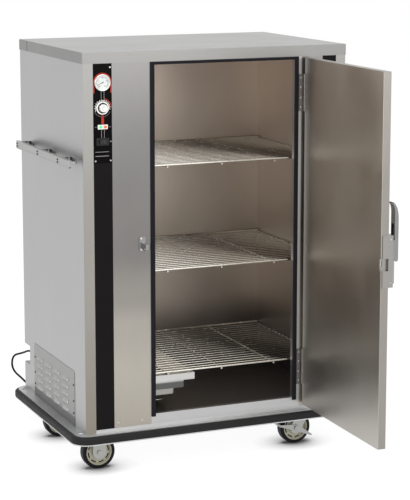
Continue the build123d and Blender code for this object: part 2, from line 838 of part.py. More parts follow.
# Heater: a bent tubular element that starts and ends in the left liner wall
heater_radius = 4.0
heater_bend = 36.0
heater_height = cavity_floor + 24.2
heater_front = pan_front + 49.0
heater_back = pan_back - 47.0
heater_right = pan_right - 30.0
nut_radius = 8.8
nut_height = 6.0
with BuildPart() as heater_element:
    with BuildLine() as heater_line:
        FilletPolyline(
            (cavity_left, heater_front, heater_height),
            (heater_right, heater_front, heater_height),
            (heater_right, heater_back, heater_height),
            (cavity_left, heater_back, heater_height),
            radius=heater_bend,
        )
    with BuildSketch(Plane.YZ.offset(cavity_left)):
        with Locations((heater_front, heater_height)):
            Circle(heater_radius)
    sweep()
    # Terminal nuts against the wall
    with BuildSketch(Plane.YZ.offset(cavity_left)):
        with Locations((heater_front, heater_height), (heater_back, heater_height)):
            RegularPolygon(nut_radius, 6)
    extrude(amount=nut_height)
heater_element.part.label = "heater_element"
export_step(heater_element.part, "parts/heater_element.step")

# Hinge axis, and the door's own directions at rest
hinge_x = frame_right + 9.0
hinge_y = front_face - 8.5
open_at_rest = 88.5
rest_turn = math.radians(180 + open_at_rest)
along_x = math.cos(rest_turn)
along_y = math.sin(rest_turn)


def door_plane(height):
    """Level plane on the hinge axis: local x runs along the door, local y out through its front."""
    return Plane(origin=(hinge_x, hinge_y, height), x_dir=(along_x, along_y, 0), z_dir=(0, 0, 1))


def door_block(along, out, z_limits, mode=Mode.ADD):
    """Adds the block between these limits along the door, out through its front, and in height."""
    with BuildSketch(door_plane(z_limits[0])) as outline:
        rectangle_between(*along, *out)
    extrude(outline.sketch, amount=z_limits[1] - z_limits[0], mode=mode)


# Door sizes, measured from the hinge axis
door_start = 6.0
door_end = hinge_x - gasket_left + 19.0
door_inside = -2.0
door_outside = 28.0
door_bottom = doorway_bottom - 27.8
door_top = doorway_top + 7.0
door_sheet = 1.2
panel_out = door_inside + door_sheet

# Latch places on the door
latch_bottom = doorway_bottom + 557.2
latch_height = 186.0
latch_width = 57.0
latch_case_out = 47.0
latch_flange = 3.0
latch_flange_in = 3.7
slot_rise = 60.0
slot_height = 44.0
slot_out = 26.5
slot_depth = 8.0
case_depth = 30.0
case_wall = 6.0
bolt_rise = 16.0
bolt_height = 20.0
bolt_out = 6.5
bolt_in = 0.2
bolt_play = 2.0
latch_top = latch_bottom + latch_height
latch_start = door_end - latch_width
slot_start = door_end - slot_depth
slot_bottom = latch_bottom + slot_rise
slot_top = slot_bottom + slot_height
case_start = door_end - case_depth
bolt_bottom = slot_bottom + bolt_rise
bolt_top = bolt_bottom + bolt_height

with BuildPart() as door_skin:
    door_block((door_start, door_end), (panel_out, door_outside), (door_bottom, door_top))
    fillet(door_skin.faces().filter_by(Plane.XY).edges().filter_by(Axis.Z, reverse=True), radius=door_sheet)
    door_block(
        (door_start + door_sheet, door_end - door_sheet),
        (panel_out, door_outside - door_sheet),
        (door_bottom + door_sheet, door_top - door_sheet),
        mode=Mode.SUBTRACT,
    )
    # Slot in the free edge for the latch case
    door_block(
        (door_end - door_sheet, door_end),
        (panel_out, slot_out + running_gap),
        (slot_bottom - case_wall, slot_top + case_wall),
        mode=Mode.SUBTRACT,
    )
door_skin.part.label = "door_skin"
export_step(door_skin.part, "parts/door_skin.step")

with BuildPart() as door_inner_panel:
    door_block((door_start, door_end), (door_inside, panel_out), (door_bottom, door_top))
    door_block((slot_start, door_end), (door_inside, panel_out), (slot_bottom, slot_top), mode=Mode.SUBTRACT)
door_inner_panel.part.label = "door_inner_panel"
export_step(door_inner_panel.part, "parts/door_inner_panel.step")

with BuildPart() as door_core:
    door_block(
        (door_start + door_sheet, door_end - door_sheet),
        (panel_out, door_outside - door_sheet),
        (door_bottom + door_sheet, door_top - door_sheet),
    )
    door_block(
        (case_start, door_end),
        (panel_out, slot_out + running_gap),
        (slot_bottom - case_wall, slot_top + case_wall),
        mode=Mode.SUBTRACT,
    )
door_core.part.label = "door_core"
export_step(door_core.part, "parts/door_core.step")

# Latch base: case on the door's front, flange round its edge, slotted inner case and the lever's lug
lever_pivot_out = 63.0
lever_pivot_height = bolt_top
lever_pin_radius = 2.5
lever_width = 30.0
lever_start = latch_start + 18.0
lever_end = lever_start + lever_width
lever_wall = 2.5
lug_out = 55.7
lug_radius = 4.4
lug_half_width = 6.0
boss_foot_rise = 11.0
boss_head_drop = 20.0
lug_middle = (lever_start + lever_end) / 2
lug_plane = Plane(origin=(hinge_x, hinge_y, 0), x_dir=(-along_y, along_x, 0), z_dir=(along_x, along_y, 0))
with BuildPart() as latch_base:
    door_block((latch_start, door_end), (door_outside, latch_case_out), (latch_bottom, latch_top))
    door_block(
        (door_end, door_end + latch_flange), (latch_flange_in, latch_case_out), (latch_bottom, latch_top)
    )
    chamfer(
        latch_base.edges().filter_by(Axis.Z).sort_by_distance((hinge_x, hinge_y, latch_top))[-1],
        length=latch_flange,
    )
    # Chrome boss that backs the lever
    door_block(
        (lever_start, lever_end),
        (latch_case_out, lug_out),
        (latch_bottom + boss_foot_rise, latch_top - boss_head_drop),
    )
    # Inner case round the bolt
    door_block(
        (case_start, door_end),
        (bolt_in - running_gap, slot_out),
        (slot_bottom - case_wall, slot_top + case_wall),
    )
    # Slot for the strike, open to the inside
    door_block(
        (slot_start, door_end + latch_flange), (bolt_in - running_gap, slot_out), (slot_bottom, slot_top),
        mode=Mode.SUBTRACT,
    )
    # Channel for the bolt
    door_block(
        (case_start, slot_start),
        (bolt_in - running_gap, bolt_out + running_gap),
        (bolt_bottom - running_gap, bolt_top + running_gap),
        mode=Mode.SUBTRACT,
    )
    # Lug and pin for the lever
    with BuildSketch(lug_plane.offset(lug_middle - lug_half_width)):
        with Locations((lever_pivot_out, lever_pivot_height)):
            Circle(lug_radius)
        rectangle_between(
            lug_out - weld_bite,
            lever_pivot_out,
            lever_pivot_height - lug_radius,
            lever_pivot_height + lug_radius,
        )
    extrude(amount=2 * lug_half_width)
    with BuildSketch(lug_plane.offset(lever_start)):
        with Locations((lever_pivot_out, lever_pivot_height)):
            Circle(lever_pin_radius)
    extrude(amount=lever_end - lever_start)
latch_base.part.label = "latch_base"
export_step(latch_base.part, "parts/latch_base.step")

with BuildPart() as latch_bolt:
    door_block(
        (case_start + bolt_play, slot_start - bolt_play), (bolt_in, bolt_out), (bolt_bottom, bolt_top)
    )
    fillet(latch_bolt.edges().filter_by(Axis.Z), radius=1)
latch_bolt.part.label = "latch_bolt"
export_step(latch_bolt.part, "parts/latch_bolt.step")

# Latch lever: a hollow handle that curves back towards the door at its top.
# Its heel is round about the pin, so it clears the boss as it tips.
lever_inner_out = lug_out + running_gap
lever_outer_out = 70.5
lever_heel = lever_pivot_out - lever_inner_out
lever_foot = lever_pivot_height - lever_heel
lever_foot_bevel = 7.0
lever_hollow_top = lever_pivot_height + 127.0
lever_bend_outer = lever_pivot_height + 142.0
lever_bend_inner = lever_pivot_height + 152.0
lever_tip_height = lever_pivot_height + 199.0
lever_tip_out = 46.0
lever_tip_width = 3.5
lever_tip_rise = 5.0
with BuildPart() as latch_lever:
    with BuildSketch(lug_plane.offset(lever_start)):
        with BuildLine():
            Line((lever_inner_out, lever_pivot_height), (lever_inner_out, lever_bend_inner))
            Spline(
                (lever_inner_out, lever_bend_inner),
                (lever_tip_out, lever_tip_height),
                tangents=((0, 1), (-0.8, 0.6)),
            )
            Line(
                (lever_tip_out, lever_tip_height),
                (lever_tip_out + lever_tip_width, lever_tip_height + lever_tip_rise),
            )
            Spline(
                (lever_tip_out + lever_tip_width, lever_tip_height + lever_tip_rise),
                (lever_outer_out, lever_bend_outer),
                tangents=((0.8, -0.6), (0, -1)),
            )
            Polyline(
                (lever_outer_out, lever_bend_outer),
                (lever_outer_out, lever_foot + lever_foot_bevel),
                (lever_outer_out - lever_foot_bevel / 2, lever_foot),
                (lever_pivot_out, lever_foot),
            )
            CenterArc((lever_pivot_out, lever_pivot_height), lever_heel, 180, 90)
        make_face()
    extrude(amount=lever_width)
    # Hollow back with an open foot, so the lever straddles the lug
    with BuildSketch(lug_plane.offset(lever_start + lever_wall)):
        rectangle_between(
            lever_inner_out, lever_outer_out - lever_wall, lever_foot, lever_hollow_top
        )
    extrude(amount=lever_width - 2 * lever_wall, mode=Mode.SUBTRACT)
    with BuildSketch(lug_plane.offset(lever_start)):
        with Locations((lever_pivot_out, lever_pivot_height)):
            Circle(lever_pin_radius + pin_play)
    extrude(amount=lever_width, mode=Mode.SUBTRACT)
latch_lever.part.label = "latch_lever"
export_step(latch_lever.part, "parts/latch_lever.step")

# Strike on the left front panel: a plate with an arm, and a nose that enters the latch slot
strike_gap = 2.0
strike_plate_right = hinge_x - door_end - latch_flange
strike_plate_left = strike_plate_right - 24.0
strike_bottom = slot_bottom + 7.0
strike_top = slot_top + 16.0
strike_sheet = 3.0
strike_arm = 4.0
nose_clear = 2.0
nose_bottom = bolt_bottom
nose_top = bolt_top - 2.0
nose_out = 23.0
nose_in = 8.0
nose_bevel = 4.0
nose_tip = hinge_x - slot_start - nose_clear
arm_right = hinge_x - door_end - latch_flange - 3 * strike_gap
strike_screws = (
    ((strike_plate_left + arm_right - strike_arm) / 2, strike_bottom + 6),
    ((strike_plate_left + arm_right - strike_arm) / 2, strike_top - 6),
)

with BuildPart() as left_front_panel:
    with BuildSketch(front_plane):
        rectangle_between(left_panel_edge, gasket_left, rail_top, cap_underside)
        with Locations(*panel_screws, *strike_screws):
            Circle(screw_hole_radius, mode=Mode.SUBTRACT)
    extrude(amount=-skin)
left_front_panel.part.label = "left_front_panel"
export_step(left_front_panel.part, "parts/left_front_panel.step")

with BuildPart() as door_strike:
    block_between(
        (strike_plate_left, strike_plate_right),
        (front_face - strike_sheet, front_face),
        (strike_bottom, strike_top),
    )
    block_between(
        (arm_right - strike_arm, arm_right),
        (hinge_y - nose_out, front_face),
        (nose_bottom - 6, nose_top + 2),
    )
    with BuildSketch(Plane.XY.offset(nose_bottom)):
        with BuildLine():
            Polyline(
                (arm_right - strike_arm, hinge_y - nose_in),
                (nose_tip - nose_bevel, hinge_y - nose_in),
                (nose_tip, hinge_y - nose_in - nose_bevel),
                (nose_tip, hinge_y - nose_out + nose_bevel),
                (nose_tip - nose_bevel, hinge_y - nose_out),
                (arm_right - strike_arm, hinge_y - nose_out),
                close=True,
            )
        make_face()
    extrude(amount=nose_top - nose_bottom)
    with BuildSketch(front_plane):
        with Locations(*strike_screws):
            Circle(screw_hole_radius)
    extrude(amount=strike_sheet, mode=Mode.SUBTRACT)
door_strike.part.label = "door_strike"
export_step(door_strike.part, "parts/door_strike.step")

# Hinges: fixed leaves with the outer knuckles and pins, door leaves with the middle knuckles
hinge_length = 140.0
hinge_middles = (door_bottom + 149.0, door_top - 132.0)
knuckle_radius = 5.0
hinge_pin_radius = 2.5
leaf_sheet = 2.0
leaf_left = doorway_right + gasket_width + 2.0
knuckle_length = hinge_length / 3 - running_gap
with BuildPart() as frame_hinge_leaves:
    for middle in hinge_middles:
        bottom = middle - hinge_length / 2
        block_between(
            (leaf_left, hinge_x - leaf_sheet),
            (front_face - leaf_sheet, front_face),
            (bottom, bottom + hinge_length),
        )
        for start in (bottom, bottom + hinge_length - knuckle_length):
            block_between(
                (hinge_x - knuckle_radius + 1, hinge_x + knuckle_radius - 2),
                (hinge_y + knuckle_radius - 1.5, front_face),
                (start, start + knuckle_length),
            )
            with BuildSketch(Plane.XY.offset(start)):
                with Locations((hinge_x, hinge_y)):
                    Circle(knuckle_radius)
            extrude(amount=knuckle_length)
        with BuildSketch(Plane.XY.offset(bottom)):
            with Locations((hinge_x, hinge_y)):
                Circle(hinge_pin_radius)
        extrude(amount=hinge_length)
frame_hinge_leaves.part.label = "frame_hinge_leaves"
export_step(frame_hinge_leaves.part, "parts/frame_hinge_leaves.step")

with BuildPart() as door_hinge_leaves:
    for middle in hinge_middles:
        bottom = middle - hinge_length / 2
        door_block(
            (door_start - leaf_sheet, door_start),
            (knuckle_radius - 1, door_outside - 2),
            (bottom, bottom + hinge_length),
        )
        knuckle_bottom = middle - knuckle_length / 2
        with BuildSketch(door_plane(knuckle_bottom)):
            Circle(knuckle_radius)
            rectangle_between(1, door_start, 0, knuckle_radius + 1)
            Circle(hinge_pin_radius + pin_play, mode=Mode.SUBTRACT)
        extrude(amount=knuckle_length)
door_hinge_leaves.part.label = "door_hinge_leaves"
export_step(door_hinge_leaves.part, "parts/door_hinge_leaves.step")

# Push bar: a lipped channel on three curved stand-offs that reach into it
with BuildPart() as push_handle_bar:
    with BuildSketch(Plane.XZ.offset(-bar_rear)):
        rectangle_between(bar_face, bar_face + bar_depth, bar_bottom, bar_top)
        rectangle_between(
            bar_inside,
            bar_face + bar_depth,
            bar_bottom + bar_lip,
            bar_top - bar_lip,
            mode=Mode.SUBTRACT,
        )
        rectangle_between(
            bar_inside,
            bar_face + bar_depth - bar_sheet,
            bar_bottom + bar_sheet,
            bar_top - bar_sheet,
            mode=Mode.SUBTRACT,
        )
        # Bead line along the lower part of the face
        with Locations((bar_face, bar_bottom + bar_bead)):
            Circle(bar_sheet / 3, mode=Mode.SUBTRACT)
    extrude(amount=bar_rear - bar_front)
    with BuildSketch(Plane.YZ.offset(bar_face)):
        with Locations(*bar_screws):
            Circle(screw_hole_radius)
    extrude(amount=bar_sheet, mode=Mode.SUBTRACT)
push_handle_bar.part.label = "push_handle_bar"
export_step(push_handle_bar.part, "parts/push_handle_bar.step")

with BuildPart() as handle_brackets:
    for bend in bracket_bends:
        with BuildSketch(Plane.XY.offset(bar_height - bracket_height / 2)):
            with BuildLine():
                FilletPolyline(
                    (bar_inside, bend - bracket_leg),
                    (bar_inside, bend),
                    (body_left, bend),
                    (body_left, bend - bracket_foot),
                    radius=bracket_bend,
                )
                offset(amount=bracket_sheet, side=Side.RIGHT)
            make_face()
        extrude(amount=bracket_height)
    with BuildSketch(Plane.YZ.offset(bar_inside)):
        with Locations(*bar_screws):
            Circle(screw_hole_radius)
    extrude(amount=bracket_sheet, mode=Mode.SUBTRACT)
    with BuildSketch(Plane.YZ.offset(body_left)):
        with Locations(*foot_screws):
            Circle(screw_hole_radius)
    extrude(amount=-bracket_sheet, mode=Mode.SUBTRACT)
handle_brackets.part.label = "handle_brackets"
export_step(handle_brackets.part, "parts/handle_brackets.step")

# Each group of screws: the plane under the heads, the places, and the length of the shanks
screw_groups = (
    (front_plane, control_screws, skin),
    (front_plane, panel_screws, skin),
    (front_plane.offset(strike_sheet), strike_screws, strike_sheet + skin),
    (Plane.YZ.offset(body_left - skin), vent_screws, 2 * skin),
    (Plane.YZ.offset(bar_face), bar_screws, bar_sheet + bracket_sheet),
    (Plane.YZ.offset(body_left - bracket_sheet), foot_screws, bracket_sheet + skin),
)
with BuildPart() as body_screws:
    for head_plane, places, reach in screw_groups:
        outward = 1 if head_plane.z_dir.Y < -0.5 else -1
        with BuildSketch(head_plane):
            with Locations(*places):
                Circle(screw_head_radius)
        extrude(amount=outward * screw_head_height, taper=20)
        with BuildSketch(head_plane):
            with Locations(*places):
                Circle(screw_radius)
        extrude(amount=-outward * reach)
body_screws.part.label = "body_screws"
export_step(body_screws.part, "parts/body_screws.step")

# Base: deck plate over an edge channel, with a corner hole at each body post
deck_side_reach = 36.5
deck_front_reach = 21.5
deck_sheet = 4.0
deck_corner = 50.0
channel_web = 3.0
channel_bottom = 119.0
bottom_flange_reach = 12.0
bottom_flange_sheet = 4.0
channel_lip = 12.0
corner_hole_length = 44.0
corner_hole_width = 26.0
corner_hole_gap = 4.0
deck_half_width = body_right + deck_side_reach
deck_half_depth = rear_face + deck_front_reach
web_top = deck_top - deck_sheet
with BuildPart() as base_frame:
    with BuildSketch(Plane.XY.offset(web_top)):
        RectangleRounded(2 * deck_half_width, 2 * deck_half_depth, deck_corner)
        # Three-sided hole beside the body at each corner
        for x_side in (-1, 1):
            for y_side in (-1, 1):
                hole_x = x_side * (body_right + corner_hole_gap)
                hole_y = y_side * rear_face
                with BuildLine():
                    Polyline(
                        (hole_x, hole_y),
                        (hole_x, hole_y - y_side * corner_hole_length),
                        (hole_x + x_side * corner_hole_width, hole_y - y_side * corner_hole_length),
                        close=True,
                    )
                make_face(mode=Mode.SUBTRACT)
    extrude(amount=deck_sheet)
    with BuildSketch(Plane.XY.offset(channel_bottom)):
        RectangleRounded(2 * deck_half_width, 2 * deck_half_depth, deck_corner)
        RectangleRounded(
            2 * (deck_half_width - channel_web),
            2 * (deck_half_depth - channel_web),
            deck_corner - channel_web,
            mode=Mode.SUBTRACT,
        )
    extrude(amount=web_top - channel_bottom)
    with BuildSketch(Plane.XY.offset(channel_bottom)):
        RectangleRounded(
            2 * (deck_half_width + bottom_flange_reach),
            2 * (deck_half_depth + bottom_flange_reach),
            deck_corner + bottom_flange_reach,
        )
        RectangleRounded(
            2 * (deck_half_width - channel_lip),
            2 * (deck_half_depth - channel_lip),
            deck_corner - channel_lip,
            mode=Mode.SUBTRACT,
        )
    extrude(amount=bottom_flange_sheet)
    # Rail along the front, between the corner posts
    block_between(
        (left_post_edge, right_post_edge), (front_face, panel_back), (deck_top, rail_top)
    )
base_frame.part.label = "base_frame"
export_step(base_frame.part, "parts/base_frame.step")

# Bumper all round the channel
bumper_thickness = 14.0
bumper_top = channel_bottom + 32.0
bumper_slope = 6.0
bumper_bottom = channel_bottom + bottom_flange_sheet
with BuildPart() as bumper_strip:
    with BuildSketch(Plane.XY.offset(bumper_bottom)):
        RectangleRounded(
            2 * (deck_half_width + bumper_thickness),
            2 * (deck_half_depth + bumper_thickness),
            deck_corner + bumper_thickness,
        )
    extrude(amount=bumper_top - bumper_bottom)
    chamfer(bumper_strip.faces().sort_by(Axis.Z)[-1].edges(), length=bumper_slope)
    chamfer(bumper_strip.faces().sort_by(Axis.Z)[0].edges(), length=bumper_slope / 2)
    with BuildSketch(Plane.XY.offset(bumper_bottom)):
        RectangleRounded(2 * deck_half_width, 2 * deck_half_depth, deck_corner)
    extrude(amount=bumper_top - bumper_bottom, mode=Mode.SUBTRACT)
bumper_strip.part.label = "bumper_strip"
export_step(bumper_strip.part, "parts/bumper_strip.step")

# Casters: rigid on the left, swivelling on the right
wheel_radius = 63.5
tyre_half_width = 19.0
tyre_shoulder = 6.0
rim_radius = 50.0
rim_bond = 0.05
rim_half_width = 17.0
rim_wall = 4.0
web_half_width = 10.0
boss_radius = 15.0
boss_half_width = 20.7
axle_radius = 6.0
axle_play = 0.08
hub_slot_radius = 40.0
hub_slot_width = 5.0
hub_slot_count = 8
hub_slot_sweep = 28.0
leg_sheet = 3.0
leg_inner = boss_half_width + running_gap
leg_outer = leg_inner + leg_sheet
axle_head_radius = 9.0
axle_head_height = 5.0
caster_plate_length = 100.0
caster_plate_width = 85.0
caster_plate_sheet = 4.0
rigid_leg_radius = 26.0
swivel_leg_radius = 24.0
swivel_leg_taper = 7.0
swivel_trail = 43.0
caster_front = -(deck_half_depth - 98.0)
caster_rear = deck_half_depth - 228.0
rigid_x = -(deck_half_width - 108.0)
swivel_x = deck_half_width - 163.0
plate_bottom = web_top - caster_plate_sheet
swivel_wheel_x = swivel_x - swivel_trail


def wheel_centre_plane(wheel_x, wheel_y):
    """Upright plane through the middle of a wheel: local x runs along +X, local y up."""
    return Plane(origin=(wheel_x, wheel_y, wheel_radius), x_dir=(1, 0, 0), z_dir=(0, -1, 0))


wheel_places = {
    "front_left": (rigid_x, caster_front),
    "rear_left": (rigid_x, caster_rear),
    "front_right": (swivel_wheel_x, caster_front),
    "rear_right": (swivel_wheel_x, caster_rear),
}
for wheel_name, (wheel_x, wheel_y) in wheel_places.items():
    wheel_axis = Axis((wheel_x, wheel_y, wheel_radius), (0, 1, 0))
    profile_plane = Plane(origin=(wheel_x, wheel_y, wheel_radius), x_dir=(0, 1, 0), z_dir=(1, 0, 0))
    with BuildPart() as wheel:
        # Hub: boss, web and rim
        with BuildSketch(profile_plane):
            rectangle_between(-boss_half_width, boss_half_width, axle_radius + axle_play, boss_radius)
            rectangle_between(-web_half_width, web_half_width, boss_radius, rim_radius - rim_wall)
            rectangle_between(
                -rim_half_width, rim_half_width, rim_radius - rim_wall, rim_radius - rim_bond
            )
        revolve(axis=wheel_axis)
        # Curved slots through the web
        with BuildSketch(wheel_centre_plane(wheel_x, wheel_y).offset(-web_half_width)):
            with PolarLocations(0, hub_slot_count):
                slot_line = CenterArc((0, 0), hub_slot_radius, 0, hub_slot_sweep, mode=Mode.PRIVATE)
                SlotArc(slot_line, hub_slot_width)
        extrude(amount=2 * web_half_width, mode=Mode.SUBTRACT)
        # Tyre with rounded shoulders
        with BuildSketch(profile_plane):
            with BuildLine():
                FilletPolyline(
                    (-tyre_half_width, rim_radius),
                    (-tyre_half_width, wheel_radius),
                    (tyre_half_width, wheel_radius),
                    (tyre_half_width, rim_radius),
                    radius=tyre_shoulder,
                )
                Line((tyre_half_width, rim_radius), (-tyre_half_width, rim_radius))
            make_face()
        revolve(axis=wheel_axis)
    wheel.part.label = f"{wheel_name}_wheel"
    export_step(wheel.part, f"parts/{wheel_name}_wheel.step")

# Rigid forks: a top plate, two round-ended legs and the riveted axle
with BuildPart() as rigid_forks:
    for fork_y in (caster_front, caster_rear):
        block_between(
            (rigid_x - caster_plate_length / 2, rigid_x + caster_plate_length / 2),
            (fork_y - caster_plate_width / 2, fork_y + caster_plate_width / 2),
            (plate_bottom, web_top),
        )
        leg_plane = wheel_centre_plane(rigid_x, fork_y)
        for side in (-1, 1):
            with BuildSketch(leg_plane.offset(side * leg_inner)):
                Circle(rigid_leg_radius)
                rectangle_between(-rigid_leg_radius, rigid_leg_radius, 0, plate_bottom - wheel_radius)
            extrude(amount=side * leg_sheet)
            with BuildSketch(leg_plane.offset(side * leg_outer)):
                Circle(axle_head_radius)
            extrude(amount=side * axle_head_height)
        with BuildSketch(leg_plane.offset(-leg_inner)):
            Circle(axle_radius)
        extrude(amount=2 * leg_inner)
rigid_forks.part.label = "rigid_forks"
export_step(rigid_forks.part, "parts/rigid_forks.step")

# Swivel top plates with the ball race ring, king pin and its nut
race_radius = 31.0
race_bottom = 137.0
king_pin_radius = 6.0
king_pin_bottom = 127.2
king_nut_radius = 9.0
crown_bottom = 131.0
crown_top = race_bottom - running_gap
crown_radius = 30.0
with BuildPart() as swivel_plates:
    for fork_y in (caster_front, caster_rear):
        block_between(
            (swivel_x - caster_plate_length / 2, swivel_x + caster_plate_length / 2),
            (fork_y - caster_plate_width / 2, fork_y + caster_plate_width / 2),
            (plate_bottom, web_top),
        )
        with BuildSketch(Plane.XY.offset(race_bottom)):
            with Locations((swivel_x, fork_y)):
                Circle(race_radius)
        extrude(amount=plate_bottom - race_bottom)
        with BuildSketch(Plane.XY.offset(king_pin_bottom)):
            with Locations((swivel_x, fork_y)):
                Circle(king_pin_radius)
        extrude(amount=race_bottom - king_pin_bottom)
        with BuildSketch(Plane.XY.offset(king_pin_bottom)):
            with Locations((swivel_x, fork_y)):
                Circle(king_nut_radius)
        extrude(amount=crown_bottom - running_gap - king_pin_bottom)
swivel_plates.part.label = "swivel_plates"
export_step(swivel_plates.part, "parts/swivel_plates.step")

# Swivel forks: a crown under the race, two slanted legs and the axle with its heads
pedal_sheet = 3.0
for fork_name, fork_y in (("front_right", caster_front), ("rear_right", caster_rear)):
    # The front fork's axle is longer, to carry the brake pedal
    head_start = leg_outer
    if fork_y == caster_front:
        head_start = leg_outer + pedal_sheet + 2 * running_gap
    with BuildPart() as swivel_fork:
        leg_plane = wheel_centre_plane(swivel_wheel_x, fork_y)
        for side in (-1, 1):
            with BuildSketch(leg_plane.offset(side * leg_inner)):
                Circle(swivel_leg_radius)
                with Locations((swivel_trail, crown_top - wheel_radius - leg_sheet / 2)):
                    Rectangle(2 * (crown_radius - swivel_leg_taper), leg_sheet)
                make_hull()
            extrude(amount=side * leg_sheet)
            with BuildSketch(leg_plane.offset(side * leg_outer)):
                Circle(axle_radius)
            extrude(amount=side * (head_start - leg_outer + axle_head_height))
            with BuildSketch(leg_plane.offset(side * head_start)):
                Circle(axle_head_radius)
            extrude(amount=side * axle_head_height)
        with BuildSketch(leg_plane.offset(-leg_inner)):
            Circle(axle_radius)
        extrude(amount=2 * leg_inner)
        with BuildSketch(Plane.XY.offset(crown_bottom)):
            with Locations((swivel_x, fork_y)):
                Circle(crown_radius)
        extrude(amount=crown_top - crown_bottom)
        with BuildSketch(Plane.XY.offset(king_pin_bottom)):
            with Locations((swivel_x, fork_y)):
                Circle(king_pin_radius + pin_play)
        extrude(amount=crown_top - king_pin_bottom, mode=Mode.SUBTRACT)
    swivel_fork.part.label = f"{fork_name}_swivel_fork"
    export_step(swivel_fork.part, f"parts/{fork_name}_swivel_fork.step")

# Brake pedal of the front right caster: two rocking arms with a tread and a cross rod
pedal_boss_radius = 13.0
pedal_arm_radius = 3.5
tread_tilt = 12.0
tread_reach = 69.0
tread_height = 14.0
rod_reach = 64.0
rod_drop = 34.0
rod_radius = 3.0
pedal_inner = leg_outer + running_gap
pedal_outer = pedal_inner + pedal_sheet
pedal_plane = wheel_centre_plane(swivel_wheel_x, caster_front)
with BuildPart() as brake_pedal:
    for side in (-1, 1):
        with BuildSketch(pedal_plane.offset(side * pedal_inner)):
            with Locations((-tread_reach, tread_height)):
                Circle(pedal_arm_radius)
            Circle(pedal_boss_radius)
            make_hull()
        extrude(amount=side * pedal_sheet)
        with BuildSketch(pedal_plane.offset(side * pedal_inner)):
            with Locations((rod_reach, -rod_drop)):
                Circle(pedal_arm_radius)
            Circle(pedal_boss_radius)
            make_hull()
        extrude(amount=side * pedal_sheet)
    with BuildSketch(pedal_plane.offset(-pedal_outer)):
        Circle(axle_radius + pin_play)
    extrude(amount=2 * pedal_outer, mode=Mode.SUBTRACT)
    with BuildSketch(pedal_plane.offset(-pedal_outer)):
        with Locations(Location((-tread_reach, tread_height), tread_tilt)):
            Rectangle(2 * rod_radius, 2 * pedal_arm_radius)
        with Locations((rod_reach, -rod_drop)):
            Circle(rod_radius)
    extrude(amount=2 * pedal_outer)
brake_pedal.part.label = "brake_pedal"
export_step(brake_pedal.part, "parts/brake_pedal.step")

# Strain relief on the front wall of the cord recess
cord_radius = 4.2
cord_exit_x = body_left + 24.5
cord_exit_z = recess_bottom + 39.0
relief_length = 32.0
relief_root_radius = 9.0
relief_nut_radius = 12.2
relief_tip_radius = 5.6
relief_flange = 3.0
relief_end = recess_front + relief_length
with BuildPart() as strain_relief:
    with BuildSketch(Plane.XZ.offset(-recess_front)):
        with Locations((cord_exit_x, cord_exit_z)):
            RegularPolygon(relief_nut_radius, 6)
    extrude(amount=-relief_flange)
    with BuildSketch(Plane.XZ.offset(-recess_front - relief_flange)):
        with Locations((cord_exit_x, cord_exit_z)):
            Circle(relief_root_radius)
    with BuildSketch(Plane.XZ.offset(-relief_end)):
        with Locations((cord_exit_x, cord_exit_z)):
            Circle(relief_tip_radius)
    loft()
strain_relief.part.label = "strain_relief"
export_step(strain_relief.part, "parts/strain_relief.step")

# Power cord: out of the recess, one loop beside the rear corner, and down to the floor behind
coil_middle = (body_left + 259.5, rear_face + 164.0)
coil_pitch = 9.0
coil_outer_radius = 58.0
half_turns_per_layer = 5
cord_floor_height = 4.3
coil_start_y = coil_middle[1] - coil_outer_radius
coil_start_x = coil_middle[0] - 2 * cord_radius
cord_route = [
    (cord_exit_x, relief_end, cord_exit_z),
    (cord_exit_x, relief_end + 50.0, cord_exit_z),
    (body_left + 15.5, rear_face + 83.5, cord_exit_z - 28.0),
    (body_left - 9.5, rear_face + 143.5, cord_exit_z - 48.0),
    (body_left - 11.5, rear_face + 150.5, 192.0),
    (body_left + 21.5, rear_face + 91.5, 158.0),
    (body_left + 59.5, rear_face + 71.5, 110.0),
    (body_left + 97.5, rear_face + 79.5, 58.0),
    (body_left + 144.5, rear_face + 95.5, 20.0),
    (body_left + 199.5, coil_start_y, cord_floor_height),
    (coil_start_x, coil_start_y, cord_floor_height),
]


def corner_radii(route):
    """Radius at each inner point: 0.45 of the shorter run over the tangent of half the turn."""
    radii = []
    for before, here, after in zip(route, route[1:], route[2:]):
        run_in = Vector(here) - Vector(before)
        run_out = Vector(after) - Vector(here)
        half_turn = math.radians(run_in.get_angle(run_out) / 2)
        radii.append(0.45 * min(run_in.length, run_out.length) / math.tan(half_turn))
    return radii


cord_radii = corner_radii(cord_route)
print("cord corner radii:", [round(radius, 1) for radius in cord_radii])
with BuildPart() as power_cord:
    with BuildLine() as cord_line:
        FilletPolyline(*cord_route, radius=cord_radii)
    with BuildSketch(Plane.XZ.offset(-relief_end)):
        with Locations((cord_exit_x, cord_exit_z)):
            Circle(cord_radius)
    sweep()
power_cord.part.label = "power_cord"
export_step(power_cord.part, "parts/power_cord.step")
cord_free_length = Wire(cord_line.edges()).length
cord_section = math.pi * cord_radius**2
print("free cord length:", round(cord_free_length), "volume over section times length:",
      round(power_cord.part.volume / (cord_section * cord_free_length), 4))

